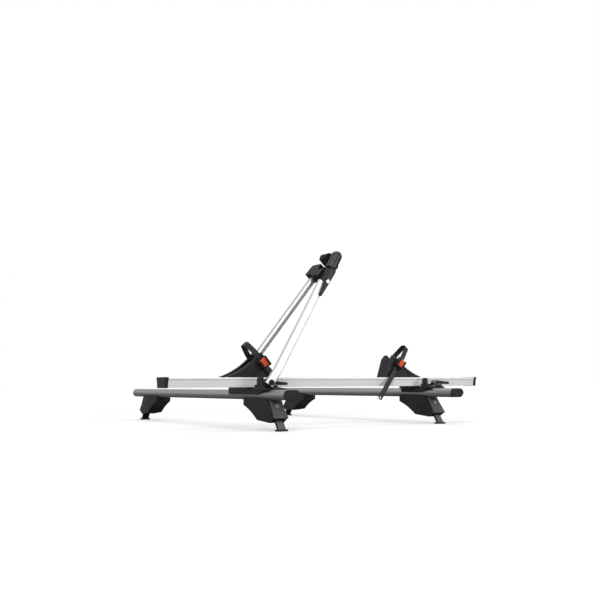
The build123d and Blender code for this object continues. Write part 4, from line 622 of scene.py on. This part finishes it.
make_strap(
    "front", facing=1, hollow_x=-0.546, angle=49.6, shoulder=0.312, tail=0.426, flare=0.007)
make_strap(
    "rear", facing=-1, hollow_x=0.508, angle=48.8, shoulder=0.334, tail=0.526, flare=0.018)

# Strap buckles
# Black moulded buckles riveted to the holders' near cheeks, each with a bright orange
# release lever that turns on a steel pin.

BUCKLE_BLACK = (0.010, 0.010, 0.011)
LEVER_ORANGE = (0.62, 0.075, 0.022)
LEVER_FADED = (0.68, 0.13, 0.05)

buckle_plastic = moulded(
    "buckle_plastic", BUCKLE_BLACK, RUBBED_BLACK, roughness=0.38, grain=2200.0,
    grain_depth=0.00004)
release_plastic = moulded(
    "release_plastic", LEVER_ORANGE, LEVER_FADED, roughness=0.34, grain=2200.0,
    grain_depth=0.00003, edge_radius=0.001)
for end in ENDS:
    wear(buckle_plastic, f"{end}_strap_buckle")
    wear(release_plastic, f"{end}_strap_lever")

# Floor
# A plain pale floor under the pads. It throws little light back at the pieces, and to the
# camera it glows more with the distance, so that it ends in the white of the backdrop.

FLOOR_PALE = (0.52, 0.52, 0.52)
FLOOR_CLOUDED = (0.50, 0.50, 0.50)
FLOOR_CLOUDS = (1.5, 1.5, 1.5)
FLOOR_BOUNCE = (0.14, 0.14, 0.14)
FLOOR_ROUGHNESS = 0.7
FLOOR_REACH = 14.0
GLOW_WHITE = (1.0, 1.0, 1.0, 1.0)
GLOW_NEAR = 0.40
GLOW_FAR = 0.80
GLOW_START = 1.2
GLOW_END = 5.0


def floor_paint():
    """Pale, faintly clouded paint with a glow that only the camera sees."""
    material, tree, shader = start_material("floor_paint")
    clouds = stretched_noise(tree, FLOOR_CLOUDS)
    base = laid_over(tree, FLOOR_PALE, FLOOR_CLOUDED, clouds, low=0.3, high=0.7)
    seen = add_node(tree, "ShaderNodeLightPath").outputs["Is Camera Ray"]
    place = add_node(tree, "ShaderNodeTexCoord")
    reach = add_node(tree, "ShaderNodeVectorMath", {"operation": "LENGTH"})
    glow = add_node(tree, "ShaderNodeMath", {"operation": "MULTIPLY"})
    tree.links.new(mix_colour(tree, seen, FLOOR_BOUNCE, base), shader.inputs["Base Color"])
    tree.links.new(place.outputs["Object"], reach.inputs[0])
    spread = ramp(tree, reach.outputs["Value"], GLOW_START, GLOW_END, GLOW_NEAR, GLOW_FAR)
    tree.links.new(spread, glow.inputs[0])
    tree.links.new(seen, glow.inputs[1])
    tree.links.new(glow.outputs[0], shader.inputs["Emission Strength"])
    shader.inputs["Emission Color"].default_value = GLOW_WHITE
    shader.inputs["Roughness"].default_value = FLOOR_ROUGHNESS
    return material


bpy.ops.mesh.primitive_plane_add(size=2 * FLOOR_REACH)
floor = bpy.context.object
floor.name = "studio_floor"
floor.data.materials.append(floor_paint())

# Lights
# A white backdrop to look at, soft light from all around that is dimmer at the rear, and
# three large square panels.

BACKDROP_WHITE = (1.0, 1.0, 1.0, 1.0)
AROUND_COLOUR = (0.97, 0.98, 1.0, 1.0)
AROUND_FRONT = 0.85
AROUND_REAR = 0.18
DIMMING_START = -0.5
DIMMING_END = 0.9
MIDDLE = (0.0, -0.2, 0.25)


def studio_light(tree):
    """Shows the camera a plain backdrop, and lights the pieces from all around."""
    backdrop = tree.nodes["Background"]
    backdrop.inputs["Color"].default_value = BACKDROP_WHITE
    around = add_node(tree, "ShaderNodeBackground", Color=AROUND_COLOUR)
    place = add_node(tree, "ShaderNodeTexCoord")
    parts = add_node(tree, "ShaderNodeSeparateXYZ")
    path = add_node(tree, "ShaderNodeLightPath")
    choice = add_node(tree, "ShaderNodeMixShader")
    tree.links.new(place.outputs["Generated"], parts.inputs["Vector"])
    strength = ramp(
        tree, parts.outputs["X"], DIMMING_START, DIMMING_END, AROUND_FRONT, AROUND_REAR)
    tree.links.new(strength, around.inputs["Strength"])
    tree.links.new(path.outputs["Is Camera Ray"], choice.inputs[0])
    tree.links.new(around.outputs["Background"], choice.inputs[1])
    tree.links.new(backdrop.outputs["Background"], choice.inputs[2])
    tree.links.new(choice.outputs["Shader"], tree.nodes["World Output"].inputs["Surface"])


def soft_panel(name, place, size, power):
    """A square light panel that faces the carrier's middle."""
    light = bpy.data.lights.new(name, "AREA")
    light.size = size
    light.energy = power
    panel = bpy.data.objects.new(name, light)
    panel.location = place
    way = Vector(MIDDLE) - Vector(place)
    panel.rotation_euler = way.to_track_quat("-Z", "Y").to_euler()
    bpy.context.collection.objects.link(panel)


world = bpy.data.worlds.new("studio")
bpy.context.scene.world = world
world.use_nodes = True
studio_light(world.node_tree)
bpy.context.scene.view_settings.view_transform = "Standard"
soft_panel("key_panel", place=(-2.8, -3.8, 2.6), size=2.6, power=165.0)
soft_panel("fill_panel", place=(2.6, -3.4, 1.8), size=2.0, power=80.0)
soft_panel("top_panel", place=(0.3, 0.6, 3.8), size=3.0, power=60.0)

# Camera
# The photograph's low camera, in front of the carrier on its near side. Its place, turn and
# focal length were solved once, from the photograph's own measures.

CAMERA_PLACE = (-1.7166, -2.8482, 0.1523)
CAMERA_YAW = math.radians(32.975)
CAMERA_PITCH = math.radians(5.873)
CAMERA_ROLL = math.radians(-0.305)
FOCAL_PIXELS = 814.98
PHOTO_PIXELS = 600.0
SENSOR_WIDTH = 36.0
CLIP_START = 0.05

forward = Vector((
    math.sin(CAMERA_YAW) * math.cos(CAMERA_PITCH),
    math.cos(CAMERA_YAW) * math.cos(CAMERA_PITCH), math.sin(CAMERA_PITCH)))
level = Vector((math.cos(CAMERA_YAW), -math.sin(CAMERA_YAW), 0.0))
upright = level.cross(forward)
right = level * math.cos(CAMERA_ROLL) + upright * math.sin(CAMERA_ROLL)
up = upright * math.cos(CAMERA_ROLL) - level * math.sin(CAMERA_ROLL)
lens = bpy.data.cameras.new("photo_camera")
lens.sensor_width = SENSOR_WIDTH
lens.lens = FOCAL_PIXELS / PHOTO_PIXELS * SENSOR_WIDTH
lens.clip_start = CLIP_START
camera = bpy.data.objects.new("photo_camera", lens)
camera.matrix_world = standing(right, up, -forward, CAMERA_PLACE)
bpy.context.collection.objects.link(camera)
bpy.context.scene.camera = camera
